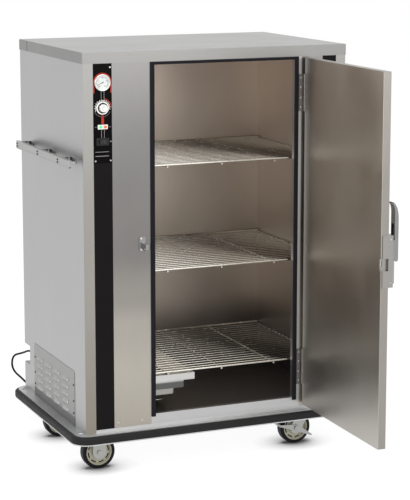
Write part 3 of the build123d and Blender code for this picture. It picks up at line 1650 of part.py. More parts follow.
# The rest of the cord, coiled behind the cabinet in two layers: in along the floor, up, and out again
tail_length = 50.0
lower_radii = [coil_outer_radius - coil_pitch / 2 * turn for turn in range(half_turns_per_layer)]
climb_radius = coil_outer_radius - coil_pitch / 2 * half_turns_per_layer
upper_radii = list(reversed(lower_radii))
upper_height = cord_floor_height + coil_pitch
with BuildPart() as cord_coil:
    with BuildLine() as coil_line:
        Line(
            (coil_start_x, coil_start_y, cord_floor_height),
            (coil_middle[0], coil_start_y, cord_floor_height),
        )
        coil_y = coil_start_y
        heading = 1
        for layer_radii, height in ((lower_radii, cord_floor_height), (upper_radii, upper_height)):
            if height == upper_height:
                # Half turn that climbs, as two quarter arcs
                middle_y = coil_y + heading * climb_radius
                reach = math.sqrt(climb_radius**2 + coil_pitch**2 / 4)
                climb_top = (coil_middle[0] + heading * reach, middle_y, height - coil_pitch / 2)
                climb_in = TangentArc(
                    (coil_middle[0], coil_y, height - coil_pitch), climb_top, tangent=(heading, 0, 0)
                )
                coil_y += heading * 2 * climb_radius
                TangentArc(climb_top, (coil_middle[0], coil_y, height), tangent=climb_in % 1)
                heading = -heading
            for radius in layer_radii:
                side_point = (coil_middle[0] + heading * radius, coil_y + heading * radius, height)
                ThreePointArc(
                    (coil_middle[0], coil_y, height),
                    side_point,
                    (coil_middle[0], coil_y + heading * 2 * radius, height),
                )
                coil_y += heading * 2 * radius
                heading = -heading
        Line((coil_middle[0], coil_y, upper_height), (coil_middle[0] - tail_length, coil_y, upper_height))
    with BuildSketch(Plane.YZ.offset(coil_start_x)):
        with Locations((coil_start_y, cord_floor_height)):
            Circle(cord_radius)
    sweep()
cord_coil.part.label = "cord_coil"
export_step(cord_coil.part, "parts/cord_coil.step")
coil_wire = Wire(coil_line.edges())
coil_length = coil_wire.length
print("coil length:", round(coil_length), "volume over section times length:",
      round(cord_coil.part.volume / (cord_section * coil_length), 4))

# Least gap between the coil's turns, measured on points along it
gap_steps = 900
step_length = coil_length / gap_steps
coil_points = [coil_wire.position_at(step / gap_steps) for step in range(gap_steps + 1)]
apart = int(math.ceil(6 * cord_radius / step_length))
least_gap = min(
    (coil_points[first] - coil_points[second]).length
    for first in range(0, gap_steps + 1)
    for second in range(first + apart, gap_steps + 1)
) - 2 * cord_radius
print("least gap in the coil:", round(least_gap, 2))

# Plug, lying on the floor beside the coil
plug_start_x = coil_middle[0] - tail_length
plug_length = 42.0
plug_half_height = upper_height - 0.1
plug_half_width = 17.0
plug_neck_radius = 7.5
plug_neck_length = 19.0
plug_bevel = 1.5
plug_plane = Plane(origin=(plug_start_x, coil_y, upper_height), x_dir=(0, 1, 0), z_dir=(-1, 0, 0))
blade_gap = 12.7
blade_length = 18.0
blade_width = 6.3
blade_sheet = 1.5
ground_pin_radius = 2.4
with BuildPart() as plug:
    with BuildSketch(plug_plane):
        Circle(plug_neck_radius)
    with BuildSketch(plug_plane.offset(plug_neck_length)):
        Ellipse(plug_half_width, plug_half_height)
    loft()
    with BuildSketch(plug_plane.offset(plug_neck_length)):
        Ellipse(plug_half_width, plug_half_height)
    extrude(amount=plug_length - plug_neck_length)
    chamfer(plug.faces().sort_by(Axis.X)[0].edges(), length=plug_bevel)
    with BuildSketch(plug_plane.offset(plug_length)):
        with Locations((0, blade_gap / 4)):
            with GridLocations(blade_gap, 0, 2, 1):
                Rectangle(blade_sheet, blade_width)
        with Locations((0, -blade_gap / 2)):
            Circle(ground_pin_radius)
    extrude(amount=blade_length)
plug.part.label = "plug"
export_step(plug.part, "parts/plug.step")
print("whole cord length:", round(cord_free_length + coil_length))
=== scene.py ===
import math

import bmesh
import bpy
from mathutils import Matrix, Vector


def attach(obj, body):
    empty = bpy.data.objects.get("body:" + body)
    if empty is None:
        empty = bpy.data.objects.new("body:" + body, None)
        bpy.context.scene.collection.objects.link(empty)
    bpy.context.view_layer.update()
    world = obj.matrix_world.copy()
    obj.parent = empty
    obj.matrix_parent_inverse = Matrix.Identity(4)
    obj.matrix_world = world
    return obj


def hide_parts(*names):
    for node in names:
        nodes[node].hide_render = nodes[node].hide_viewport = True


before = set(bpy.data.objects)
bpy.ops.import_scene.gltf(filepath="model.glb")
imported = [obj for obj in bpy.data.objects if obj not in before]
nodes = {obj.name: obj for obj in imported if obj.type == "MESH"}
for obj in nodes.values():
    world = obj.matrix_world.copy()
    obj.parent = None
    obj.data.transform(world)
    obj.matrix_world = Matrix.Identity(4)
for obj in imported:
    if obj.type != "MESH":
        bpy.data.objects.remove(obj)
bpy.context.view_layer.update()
scene = bpy.context.scene

# Places that the looks share with the CAD, in metres
front_face = -0.3665
body_left = -0.5295
control_x = -0.453
thermometer_z = 1.455
thermostat_z = 1.3636
indicator_z = 1.295
switch_z = 1.241
hinge_point = Vector((0.354, -0.375, 0.0))
door_turn = math.radians(180 + 88.5)
along_door = Vector((math.cos(door_turn), math.sin(door_turn), 0.0))
out_of_door = Vector((-math.sin(door_turn), math.cos(door_turn), 0.0))
wheel_radius = 0.0635
rigid_plate_x = -0.458
swivel_plate_x = 0.403
swivel_wheel_x = 0.36
caster_rows_y = (-0.29, 0.16)
wheel_places = {
    "front_left_wheel": (rigid_plate_x, caster_rows_y[0], wheel_radius),
    "rear_left_wheel": (rigid_plate_x, caster_rows_y[1], wheel_radius),
    "front_right_wheel": (swivel_wheel_x, caster_rows_y[0], wheel_radius),
    "rear_right_wheel": (swivel_wheel_x, caster_rows_y[1], wheel_radius),
}


def on_door(along, out, height):
    """Point in the row frame from a place along the door, out through its front, and up."""
    return hinge_point + along_door * along + out_of_door * out + Vector((0, 0, height))


# Camera: at the photograph's viewing angle
camera_data = bpy.data.cameras.new("camera")
camera_data.lens = 127.88
camera_data.sensor_width = 36.0
camera_data.shift_y = -0.1
camera = bpy.data.objects.new("camera", camera_data)
camera.location = (-2.6312, -6.3511, 2.0701)
camera.rotation_euler = (math.radians(80.695), 0.0, math.radians(-23.318))
scene.collection.objects.link(camera)
scene.camera = camera


# Material helpers
def new_material(name):
    """An empty node material with its shader and output joined."""
    material = bpy.data.materials.new(name)
    material.use_nodes = True
    tree = material.node_tree
    tree.nodes.clear()
    shader = tree.nodes.new("ShaderNodeBsdfPrincipled")
    output = tree.nodes.new("ShaderNodeOutputMaterial")
    tree.links.new(shader.outputs["BSDF"], output.inputs["Surface"])
    return material, tree, shader


def object_noise(tree, stretch, scale, detail=3.0, roughness=0.55):
    """Noise in the row frame, stretched along each axis by how small its factor is."""
    place = tree.nodes.new("ShaderNodeTexCoord")
    mapping = tree.nodes.new("ShaderNodeMapping")
    mapping.inputs["Scale"].default_value = stretch
    noise = tree.nodes.new("ShaderNodeTexNoise")
    noise.inputs["Scale"].default_value = scale
    noise.inputs["Detail"].default_value = detail
    noise.inputs["Roughness"].default_value = roughness
    tree.links.new(place.outputs["Object"], mapping.inputs["Vector"])
    tree.links.new(mapping.outputs["Vector"], noise.inputs["Vector"])
    return noise.outputs["Fac"]


def spread(tree, value, low, high, start=0.3, end=0.7):
    """The value, spread from low to high."""
    node = tree.nodes.new("ShaderNodeMapRange")
    node.inputs["From Min"].default_value = start
    node.inputs["From Max"].default_value = end
    node.inputs["To Min"].default_value = low
    node.inputs["To Max"].default_value = high
    tree.links.new(value, node.inputs["Value"])
    return node.outputs["Result"]


def shade(colour, factor):
    """The colour, darker or lighter by the factor, with alpha."""
    return tuple(min(1.0, channel * factor) for channel in colour) + (1.0,)


def two_tone(tree, factor, first, second):
    """Mixes two colours by the factor."""
    mix = tree.nodes.new("ShaderNodeMix")
    mix.data_type = "RGBA"
    mix.inputs["A"].default_value = first
    mix.inputs["B"].default_value = second
    tree.links.new(factor, mix.inputs["Factor"])
    return mix.outputs["Result"]


def add_bump(tree, shader, height, strength, distance):
    """Bump from the height, in metres of distance."""
    bump = tree.nodes.new("ShaderNodeBump")
    bump.inputs["Strength"].default_value = strength
    bump.inputs["Distance"].default_value = distance
    tree.links.new(height, bump.inputs["Height"])
    tree.links.new(bump.outputs["Normal"], shader.inputs["Normal"])


def beyond(tree, axis, place, width=0.0003):
    """One where the row frame's place along an axis (0, 1 or 2) is above the given one, else zero."""
    coordinates = tree.nodes.new("ShaderNodeTexCoord")
    split = tree.nodes.new("ShaderNodeSeparateXYZ")
    tree.links.new(coordinates.outputs["Object"], split.inputs[0])
    return spread(tree, split.outputs[axis], 0.0, 1.0, place - width, place + width)


def broad_tone(tree, stops):
    """A colour that changes with height: stops are pairs of height in metres and factor or colour."""
    place = tree.nodes.new("ShaderNodeTexCoord")
    split = tree.nodes.new("ShaderNodeSeparateXYZ")
    tree.links.new(place.outputs["Object"], split.inputs[0])
    ramp = tree.nodes.new("ShaderNodeValToRGB")
    ramp.color_ramp.interpolation = "EASE"
    for number, (height, colour) in enumerate(stops):
        if number < 2:
            element = ramp.color_ramp.elements[number]
            element.position = height / 1.6
        else:
            element = ramp.color_ramp.elements.new(height / 1.6)
        element.color = (*colour, 1.0)
    tree.links.new(spread(tree, split.outputs["Z"], 0.0, 1.0, 0.0, 1.6), ramp.inputs["Fac"])
    return ramp.outputs["Color"]


def brushed_metal(
    name,
    colour,
    grain,
    roughness=0.34,
    contrast=0.05,
    smudge=0.06,
    metallic=1.0,
    stops=None,
    edge=None,
    darker=(),
):
    """Brushed sheet: fine streaks along the axis whose stretch is small, under broad soft smudges."""
    material, tree, shader = new_material(name)
    streaks = object_noise(tree, grain, 900.0, 2.0)
    smudges = object_noise(tree, (1.0, 1.0, 0.6), 3.2, 4.0)
    tone = tree.nodes.new("ShaderNodeMath")
    tone.operation = "MULTIPLY_ADD"
    tree.links.new(spread(tree, streaks, -contrast, contrast), tone.inputs[0])
    tone.inputs[1].default_value = 1.0
    tree.links.new(spread(tree, smudges, 0.5 - smudge, 0.5 + smudge), tone.inputs[2])
    low = shade(colour, 0.72)
    high = shade(colour, 1.28)
    surface = two_tone(tree, tone.outputs["Value"], low, high)
    # Stops change the colour by height; on the front, post, liner, carrier and door sheets this is painted
    # light and shade
    if stops:
        tint = tree.nodes.new("ShaderNodeMix")
        tint.data_type = "RGBA"
        tint.blend_type = "MULTIPLY"
        tint.inputs["Factor"].default_value = 1.0
        if edge:
            # Only in front of this place is the broad tone seen
            tree.links.new(spread(tree, beyond(tree, *edge), 1.0, 0.0, 0.0, 1.0), tint.inputs["Factor"])
        tree.links.new(surface, tint.inputs["A"])
        tree.links.new(broad_tone(tree, stops), tint.inputs["B"])
        surface = tint.outputs["Result"]
    for axis, place, factor in darker:
        # Painted shade: below this place along the axis the sheet faces another way, and its colour is
        # darkened for the shade it gets there
        turned_shade = tree.nodes.new("ShaderNodeMix")
        turned_shade.data_type = "RGBA"
        turned_shade.blend_type = "MULTIPLY"
        turned_shade.inputs["B"].default_value = (factor, factor, factor, 1.0)
        tree.links.new(surface, turned_shade.inputs["A"])
        tree.links.new(spread(tree, beyond(tree, axis, place), 1.0, 0.0, 0.0, 1.0), turned_shade.inputs["Factor"])
        surface = turned_shade.outputs["Result"]
    tree.links.new(surface, shader.inputs["Base Color"])
    tree.links.new(spread(tree, smudges, roughness - 0.05, roughness + 0.07), shader.inputs["Roughness"])
    shader.inputs["Metallic"].default_value = metallic
    add_bump(tree, shader, streaks, 0.06, 0.0002)
    return material


def bright_metal(name, colour, roughness=0.18):
    """Plated or polished metal with faint clouding and fine handling marks."""
    material, tree, shader = new_material(name)
    clouds = object_noise(tree, (1.0, 1.0, 1.0), 45.0, 4.0)
    cloudy = two_tone(tree, clouds, shade(colour, 0.9), shade(colour, 1.08))
    tree.links.new(cloudy, shader.inputs["Base Color"])
    tree.links.new(spread(tree, clouds, roughness - 0.05, roughness + 0.1), shader.inputs["Roughness"])
    shader.inputs["Metallic"].default_value = 1.0
    return material


def moulded(
    name, colour, roughness=0.5, grain_scale=900.0, grain_depth=0.15, coat=0.0, blotch=0.12, gloss=0.5
):
    """Moulded plastic or rubber: fine grain with slightly uneven colour."""
    material, tree, shader = new_material(name)
    grain = object_noise(tree, (1.0, 1.0, 1.0), grain_scale, 2.0)
    blotches = object_noise(tree, (1.0, 1.0, 1.0), 22.0, 4.0)
    low = shade(colour, 1 - blotch)
    high = shade(colour, 1 + blotch)
    tree.links.new(two_tone(tree, blotches, low, high), shader.inputs["Base Color"])
    tree.links.new(spread(tree, blotches, roughness - 0.06, roughness + 0.08), shader.inputs["Roughness"])
    shader.inputs["Specular IOR Level"].default_value = gloss
    shader.inputs["Coat Weight"].default_value = coat
    shader.inputs["Coat Roughness"].default_value = 0.06
    add_bump(tree, shader, grain, grain_depth, 0.0002)
    return material


along_x = (0.02, 1.0, 1.0)
along_y = (1.0, 0.02, 1.0)
along_z = (1.0, 1.0, 0.02)

# Painted reflection and shade: the front sheets' colour is darkened towards mid height and warmed towards
# the floor, standing in for what polished sheet in a room reflects
front_painted_reflection_stops = (
    (0.15, (0.93, 0.86, 0.76)),
    (0.38, (1.0, 0.94, 0.83)),
    (0.55, (0.90, 0.85, 0.77)),
    (0.66, (0.70, 0.66, 0.61)),
    (0.84, (0.50, 0.475, 0.455)),
    (1.20, (0.52, 0.51, 0.505)),
    (1.56, (0.66, 0.65, 0.65)),
)
# Painted shade: the side sheets' front posts are coloured darker and warmer towards the floor
post_painted_shade_stops = (
    (0.15, (0.66, 0.60, 0.52)),
    (0.75, (0.76, 0.73, 0.68)),
    (1.56, (0.80, 0.79, 0.77)),
)
# Painted shade: the liner is coloured darker towards the bottom of the cavity
liner_painted_shade_stops = (
    (0.20, (0.22, 0.23, 0.25)),
    (0.33, (0.34, 0.34, 0.35)),
    (0.50, (0.80, 0.80, 0.79)),
    (1.50, (1.0, 0.99, 0.98)),
)
# The toe below the lowest hoods is coloured darker
toe_stops = (
    (0.188, (0.48, 0.48, 0.48)),
    (0.192, (1.0, 1.0, 1.0)),
)
# Painted shade: the carrier's web below its lip is coloured dark, for the shadow under the lip
carrier_painted_shade_stops = (
    (0.310, (0.20, 0.20, 0.20)),
    (0.3135, (1.0, 1.0, 1.0)),
)
# Painted light and shade: the inner door panel is coloured darker towards the bottom and the top, lightest
# near 1.1 m
door_painted_light_stops = (
    (0.15, (0.80, 0.80, 0.80)),
    (0.75, (0.90, 0.86, 0.80)),
    (1.10, (1.0, 0.97, 0.93)),
    (1.56, (0.92, 0.88, 0.85)),
)
steel_front = brushed_metal("steel_front", (0.41, 0.41, 0.41), along_z, stops=front_painted_reflection_stops)
steel_trim = brushed_metal("steel_trim", (0.31, 0.292, 0.27), along_z)
steel_hinge = brushed_metal("steel_hinge", (0.20, 0.19, 0.18), along_z)
steel_frame = brushed_metal("steel_frame", (0.48, 0.48, 0.48), along_x)
steel_side = brushed_metal(
    "steel_side", (0.405, 0.405, 0.405), along_z, roughness=0.38, stops=post_painted_shade_stops, edge=(1, -0.3650)
)
steel_vent = brushed_metal("steel_vent", (0.31, 0.31, 0.305), along_z, roughness=0.42, stops=toe_stops)
# Painted shade: the cap's front and left flanges are coloured darker than its top, as faces turned away from
# the light
steel_top = brushed_metal(
    "steel_top",
    (0.345, 0.345, 0.34),
    along_x,
    roughness=0.36,
    darker=((1, -0.3670, 0.82), (0, -0.5300, 0.70)),
)
steel_liner = brushed_metal(
    "steel_liner", (0.66, 0.58, 0.51), along_z, roughness=0.42, contrast=0.04, stops=liner_painted_shade_stops
)
steel_carrier = brushed_metal(
    "steel_carrier", (0.56, 0.555, 0.54), along_x, roughness=0.32, stops=carrier_painted_shade_stops
)
steel_door_inside = brushed_metal(
    "steel_door_inside", (0.60, 0.57, 0.53), along_z, roughness=0.36, contrast=0.03, stops=door_painted_light_stops
)
steel_sheet = brushed_metal("steel_sheet", (0.33, 0.32, 0.305), along_x, roughness=0.32)
aluminium_deck = brushed_metal("aluminium_deck", (0.54, 0.545, 0.55), along_x, roughness=0.42, contrast=0.06)
aluminium_bar = brushed_metal("aluminium_bar", (0.375, 0.375, 0.37), along_y, roughness=0.34, contrast=0.03)
chrome_bright = bright_metal("chrome_bright", (0.42, 0.42, 0.415), 0.14)
chrome_light = bright_metal("chrome_light", (0.72, 0.72, 0.71), 0.16)
chrome_dark = bright_metal("chrome_dark", (0.29, 0.29, 0.29), 0.12)
chrome_wire = bright_metal("chrome_wire", (0.62, 0.60, 0.55), 0.2)
zinc_plate = bright_metal("zinc_plate", (0.36, 0.365, 0.35), 0.34)
black_gloss = moulded("black_gloss", (0.003, 0.0025, 0.0025), 0.2, 300.0, 0.03, gloss=0.05)
black_strip = moulded("black_strip", (0.006, 0.005, 0.0055), 0.34, 700.0, 0.08, gloss=0.08)
black_matt = moulded("black_matt", (0.012, 0.012, 0.012), 0.55, gloss=0.25)
bumper_rubber = moulded("bumper_rubber", (0.016, 0.016, 0.016), 0.55, 500.0, 0.25, gloss=0.15)
gasket_rubber = moulded("gasket_rubber", (0.009, 0.009, 0.013), 0.5, 600.0, 0.2, gloss=0.12)
white_gloss = moulded("white_gloss", (0.88, 0.87, 0.85), 0.3, 500.0, 0.04, coat=0.3, blotch=0.03)
cord_rubber = moulded("cord_rubber", (0.008, 0.008, 0.008), 0.45, 700.0, 0.15, gloss=0.12)
red_print = moulded("red_print", (0.40, 0.035, 0.018), 0.35, 500.0, 0.04, blotch=0.05, gloss=0.15)
switch_black = moulded("switch_black", (0.020, 0.020, 0.022), 0.3, 500.0, 0.05, gloss=0.35)
white_print = moulded("white_print", (0.78, 0.77, 0.75), 0.4, 500.0, 0.04, blotch=0.04)
grey_print = moulded("grey_print", (0.30, 0.29, 0.29), 0.4, 500.0, 0.04, blotch=0.04)
blanket = moulded("blanket", (0.62, 0.55, 0.30), 0.9, 200.0, 0.8)

material_of_node = {
    "top_cap": steel_top,
    "left_side_panel": steel_side,
    "right_side_panel": steel_side,
    "rear_panel": steel_side,
    "door_frame": steel_frame,
    "left_front_panel": steel_front,
    "right_front_panel": steel_front,
    "front_strips": black_strip,
    "control_plate": black_gloss,
    "door_gasket": gasket_rubber,
    "liner_left": steel_liner,
    "liner_right": steel_liner,
    "liner_back": steel_liner,
    "liner_ceiling": steel_liner,
    "liner_floor": steel_liner,
    "insulation_jacket": blanket,
    "wire_shelf_lower": chrome_wire,
    "wire_shelf_middle": chrome_wire,
    "wire_shelf_upper": chrome_wire,
    "shelf_clips": steel_liner,
    "pan_carrier": steel_carrier,
    "water_pan": steel_sheet,
    "heater_element": zinc_plate,
    "thermometer_case": white_gloss,
    "thermostat_body": black_matt,
    "thermostat_knob": white_gloss,
    "thermometer_needle": black_matt,
    "indicator_light": white_gloss,
    "switch_bezel": black_matt,
    "rocker_switch": switch_black,
    "push_handle_bar": aluminium_bar,
    "handle_brackets": chrome_bright,
    "vent_plate": steel_vent,
    "cord_recess": steel_trim,
    "strain_relief": black_matt,
    "base_frame": aluminium_deck,
    "bumper_strip": bumper_rubber,
    "door_strike": chrome_dark,
    "frame_hinge_leaves": steel_hinge,
    "door_hinge_leaves": steel_hinge,
    "door_skin": steel_trim,
    "door_inner_panel": steel_door_inside,
    "door_core": blanket,
    "latch_base": steel_sheet,
    "latch_lever": chrome_dark,
    "latch_bolt": chrome_bright,
    "rigid_forks": zinc_plate,
    "swivel_plates": zinc_plate,
    "front_right_swivel_fork": zinc_plate,
    "rear_right_swivel_fork": zinc_plate,
    "brake_pedal": zinc_plate,
}


def dress(node_name, material):
    """Gives the CAD node this material."""
    slots = nodes[node_name].data.materials
    slots.clear()
    slots.append(material)


for node_name, material in material_of_node.items():
    dress(node_name, material)


def wheel_material(name, centre):
    """Dark tyre outside the rim, cream hub inside it, told apart by distance from the axle."""
    material, tree, shader = new_material(name)
    place = tree.nodes.new("ShaderNodeTexCoord")
    from_axle = tree.nodes.new("ShaderNodeVectorMath")
    from_axle.operation = "SUBTRACT"
    from_axle.inputs[1].default_value = centre
    flatten = tree.nodes.new("ShaderNodeVectorMath")
    flatten.operation = "MULTIPLY"
    flatten.inputs[1].default_value = (1.0, 0.0, 1.0)
    length = tree.nodes.new("ShaderNodeVectorMath")
    length.operation = "LENGTH"
    tree.links.new(place.outputs["Object"], from_axle.inputs[0])
    tree.links.new(from_axle.outputs["Vector"], flatten.inputs[0])
    tree.links.new(flatten.outputs["Vector"], length.inputs[0])
    is_tyre = spread(tree, length.outputs["Value"], 0.0, 1.0, 0.0499, 0.0501)
    worn = object_noise(tree, (1.0, 1.0, 1.0), 60.0, 5.0)
    hub = two_tone(tree, worn, (0.40, 0.38, 0.28, 1.0), (0.50, 0.48, 0.37, 1.0))
    tyre = two_tone(tree, worn, (0.006, 0.005, 0.007, 1.0), (0.014, 0.012, 0.016, 1.0))
    mix = tree.nodes.new("ShaderNodeMix")
    mix.data_type = "RGBA"
    tree.links.new(is_tyre, mix.inputs["Factor"])
    tree.links.new(hub, mix.inputs["A"])
    tree.links.new(tyre, mix.inputs["B"])
    tree.links.new(mix.outputs["Result"], shader.inputs["Base Color"])
    tree.links.new(spread(tree, worn, 0.38, 0.55), shader.inputs["Roughness"])
    tree.links.new(spread(tree, is_tyre, 0.4, 0.1, 0.0, 1.0), shader.inputs["Specular IOR Level"])
    add_bump(tree, shader, worn, 0.15, 0.0004)
    return material


for node_name, centre in wheel_places.items():
    dress(node_name, wheel_material(node_name + "_rubber", centre))

# Screws: bright on the front, dark on the vent plate and the bar
screw_material, screw_tree, screw_shader = new_material("screw_plating")
screw_clouds = object_noise(screw_tree, (1.0, 1.0, 1.0), 90.0, 4.0)
on_front = beyond(screw_tree, 0, -0.5290)
screw_mix = two_tone(screw_tree, on_front, (0.03, 0.03, 0.032, 1.0), (0.80, 0.80, 0.79, 1.0))
screw_tree.links.new(screw_mix, screw_shader.inputs["Base Color"])
screw_tree.links.new(spread(screw_tree, screw_clouds, 0.16, 0.32), screw_shader.inputs["Roughness"])
screw_shader.inputs["Metallic"].default_value = 1.0
dress("body_screws", screw_material)

# Clear lens over the thermometer
lens_glass, lens_tree, lens_shader = new_material("lens_glass")
lens_shader.inputs["Base Color"].default_value = (0.95, 0.97, 0.97, 1.0)
lens_shader.inputs["Transmission Weight"].default_value = 1.0
lens_shader.inputs["IOR"].default_value = 1.15
lens_tree.links.new(
    spread(lens_tree, object_noise(lens_tree, (1, 1, 1), 150.0), 0.02, 0.08), lens_shader.inputs["Roughness"]
)
dress("thermometer_lens", lens_glass)


# Mesh helpers
def piece(name, mesh_builder, material, body, smooth=False):
    """Makes a mesh piece from a function that fills a bmesh, and lets it ride on a body."""
    bm = bmesh.new()
    mesh_builder(bm)
    mesh = bpy.data.meshes.new(name)
    bm.to_mesh(mesh)
    bm.free()
    mesh.materials.append(material)
    if smooth:
        for polygon in mesh.polygons:
            polygon.use_smooth = True
    made = bpy.data.objects.new(name, mesh)
    scene.collection.objects.link(made)
    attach(made, body)
    return made


# Power cord: the same route as the CAD tube, as one smooth curve, then the coil behind the cabinet
cord_diameter = 0.0084
cord_route = [
    (-0.505, 0.332, 0.302),
    (-0.505, 0.382, 0.302),
    (-0.514, 0.450, 0.274),
    (-0.539, 0.510, 0.254),
    (-0.541, 0.517, 0.192),
    (-0.508, 0.458, 0.158),
    (-0.470, 0.438, 0.110),
    (-0.432, 0.446, 0.058),
    (-0.385, 0.462, 0.020),
    (-0.330, 0.4725, 0.0043),
    (-0.2784, 0.4725, 0.0043),
]
coil_x = -0.270
coil_pitch = 0.009
coil_outer_radius = 0.058
half_turns_per_layer = 5
points_per_half_turn = 8
tail_length = 0.050


def coil_points():
    """Points of the coil: in along the floor, up a layer in one half turn, and out again."""
    points = []
    start_y = cord_route[-1][1]
    height = cord_route[-1][2]
    heading = 1
    lower = [coil_outer_radius - coil_pitch / 2 * turn for turn in range(half_turns_per_layer)]
    climb = [coil_outer_radius - coil_pitch / 2 * half_turns_per_layer]
    rises = [0.0] * half_turns_per_layer + [coil_pitch] + [0.0] * half_turns_per_layer
    for radius, rise in zip(lower + climb + lower[::-1], rises):
        # A control point lies outside the arc that it shapes
        outside = radius / math.cos(math.pi / points_per_half_turn / 2)
        for step in range(points_per_half_turn):
            angle = math.pi * (step + 0.5) / points_per_half_turn
            across = coil_x + heading * outside * math.sin(angle)
            along = start_y + heading * (radius - outside * math.cos(angle))
            points.append((across, along, height + rise * (1 - math.cos(angle)) / 2))
        start_y += heading * 2 * radius
        height += rise
        heading = -heading
    points.append((coil_x - tail_length / 4, start_y, height))
    points.append((coil_x - tail_length, start_y, height))
    return points


def smooth_cord(name, points):
    """One NURBS curve through these control points, with the cord's thickness."""
    curve = bpy.data.curves.new(name, "CURVE")
    curve.dimensions = "3D"
    curve.bevel_depth = cord_diameter / 2
    curve.bevel_resolution = 6
    curve.resolution_u = 12
    curve.use_fill_caps = True
    spline = curve.splines.new("NURBS")
    spline.points.add(len(points) - 1)
    for spline_point, point in zip(spline.points, points):
        spline_point.co = (*point, 1.0)
    spline.order_u = 3
    spline.use_endpoint_u = True
    curve.materials.append(cord_rubber)
    made = bpy.data.objects.new(name, curve)
    scene.collection.objects.link(made)
    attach(made, "cabinet")
    return made


cord = smooth_cord("mains_cord", cord_route + coil_points())
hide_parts("power_cord", "cord_coil")


# Plug: black moulding, brass blades
blade_start_x = -0.3622
plug_material, plug_tree, plug_shader = new_material("plug_moulding_and_brass")
plug_body = beyond(plug_tree, 0, blade_start_x)
plug_grain = object_noise(plug_tree, (1.0, 1.0, 1.0), 300.0, 4.0)
plug_mix = two_tone(plug_tree, plug_body, (0.62, 0.42, 0.16, 1.0), (0.016, 0.016, 0.016, 1.0))
plug_tree.links.new(plug_mix, plug_shader.inputs["Base Color"])
plug_tree.links.new(spread(plug_tree, plug_body, 1.0, 0.0, 0.0, 1.0), plug_shader.inputs["Metallic"])
plug_tree.links.new(spread(plug_tree, plug_grain, 0.28, 0.5), plug_shader.inputs["Roughness"])
add_bump(plug_tree, plug_shader, plug_grain, 0.1, 0.0002)
dress("plug", plug_material)

# Printed and moulded details of the controls, laid just in front of the plate
print_lift = 0.0003


def box_mesh(bm, x, y, z):
    """A block between the limits in each direction."""
    corners = [bm.verts.new((px, py, pz)) for px in x for py in y for pz in z]
    for a, b, c, d in ((0, 1, 3, 2), (4, 6, 7, 5), (0, 4, 5, 1), (2, 3, 7, 6), (0, 2, 6, 4), (1, 5, 7, 3)):
        bm.faces.new((corners[a], corners[b], corners[c], corners[d]))


def join_rows(bm, rows, around=True):
    """Faces between neighbouring rows of points, each row closed on itself where around is set."""
    for first, second in zip(rows, rows[1:]):
        for step in range(len(first) if around else len(first) - 1):
            after = (step + 1) % len(first)
            bm.faces.new((first[step], second[step], second[after], first[after]))


def ring_sector(bm, centre, radii, angles, depth, steps=40):
    """Part of a flat ring on the front, between two angles in degrees, standing between two depths."""
    closed = abs(angles[1] - angles[0]) >= 360
    rows = []
    for step in range(steps + (0 if closed else 1)):
        angle = math.radians(angles[0] + (angles[1] - angles[0]) * step / steps)
        row = []
        section = ((radii[0], depth[1]), (radii[0], depth[0]), (radii[1], depth[0]), (radii[1], depth[1]))
        for radius, y in section:
            x = centre[0] + radius * math.cos(angle)
            z = centre[1] + radius * math.sin(angle)
            row.append(bm.verts.new((x, y, z)))
        rows.append(row)
    if closed:
        rows.append(rows[0])
    else:
        bm.faces.new(rows[0])
        bm.faces.new(rows[-1][::-1])
    join_rows(bm, rows)


mark_depth = (front_face - print_lift, front_face + 0.0002)


def front_marks(name, material, shapes, body="cabinet", depth=mark_depth):
    """One piece of printed marks: boxes as (x0, x1, z0, z1) and ring sectors as (centre, radii, angles)."""

    def build(bm):
        for shape in shapes:
            if len(shape) == 4:
                box_mesh(bm, shape[:2], depth, shape[2:])
            else:
                ring_sector(bm, *shape, depth)

    return piece(name, build, material, body)


thermometer_centre = (control_x, thermometer_z)
thermostat_centre = (control_x, thermostat_z)
arch_half = 0.0355
arch_inner = 0.0308
arch_foot = 0.038
front_marks(
    "thermometer_surround",
    red_print,
    [
        (thermometer_centre, (arch_inner, arch_half), (-6, 186)),
        (control_x - arch_half, control_x - arch_inner, thermometer_z - arch_foot, thermometer_z),
        (control_x + arch_inner, control_x + arch_half, thermometer_z - arch_foot, thermometer_z),
    ],
)
line_half_gap = 0.0055
line_width = 0.0014


def twin_lines(low_z, high_z):
    """Two upright lines either side of the control plate's middle."""
    return [
        (control_x + side * line_half_gap, control_x + side * line_half_gap + line_width, low_z, high_z)
        for side in (-1, 1)
    ]


front_marks(
    "guide_lines",
    grey_print,
    twin_lines(1.397, 1.4245)
    + twin_lines(1.2555, 1.2865)
    + [
        (-0.482, -0.430, 1.2035, 1.2050),
        (-0.482, -0.430, 1.1880, 1.1900),
        (-0.482, -0.476, 1.2940, 1.2952),
        (-0.430, -0.422, 1.2940, 1.2952),
    ],
)
front_marks(
    "thermostat_red_marks",
    red_print,
    [
        (thermostat_centre, (0.0325, 0.0352), (-2, 78)),
        (control_x - 0.0050, control_x + 0.0050, 1.3052, 1.3370),
    ],
)
front_marks("thermostat_dark_arc", grey_print, [(thermostat_centre, (0.0318, 0.0326), (205, 335))])
tick_turns = [200 - step * 17.5 for step in range(13)]
front_marks(
    "thermostat_scale",
    white_print,
    [(thermostat_centre, (0.0262, 0.0278), (-12, 202))]
    + [(thermostat_centre, (0.0278, 0.0312), (turn - 1.6, turn + 1.6)) for turn in tick_turns],
)
dial_depth = (front_face - 0.0007, front_face - 0.0004)
dial_marks = [(thermometer_centre, (0.0205, 0.0209), (-50, 230))]
for step in range(41):
    turn = 230 - step * 7
    mark_end = 0.0242 if step % 5 == 0 else 0.0226
    dial_marks.append((thermometer_centre, (0.0209, mark_end), (turn - 0.6, turn + 0.6)))
front_marks("thermometer_scale", black_matt, dial_marks, depth=dial_depth)


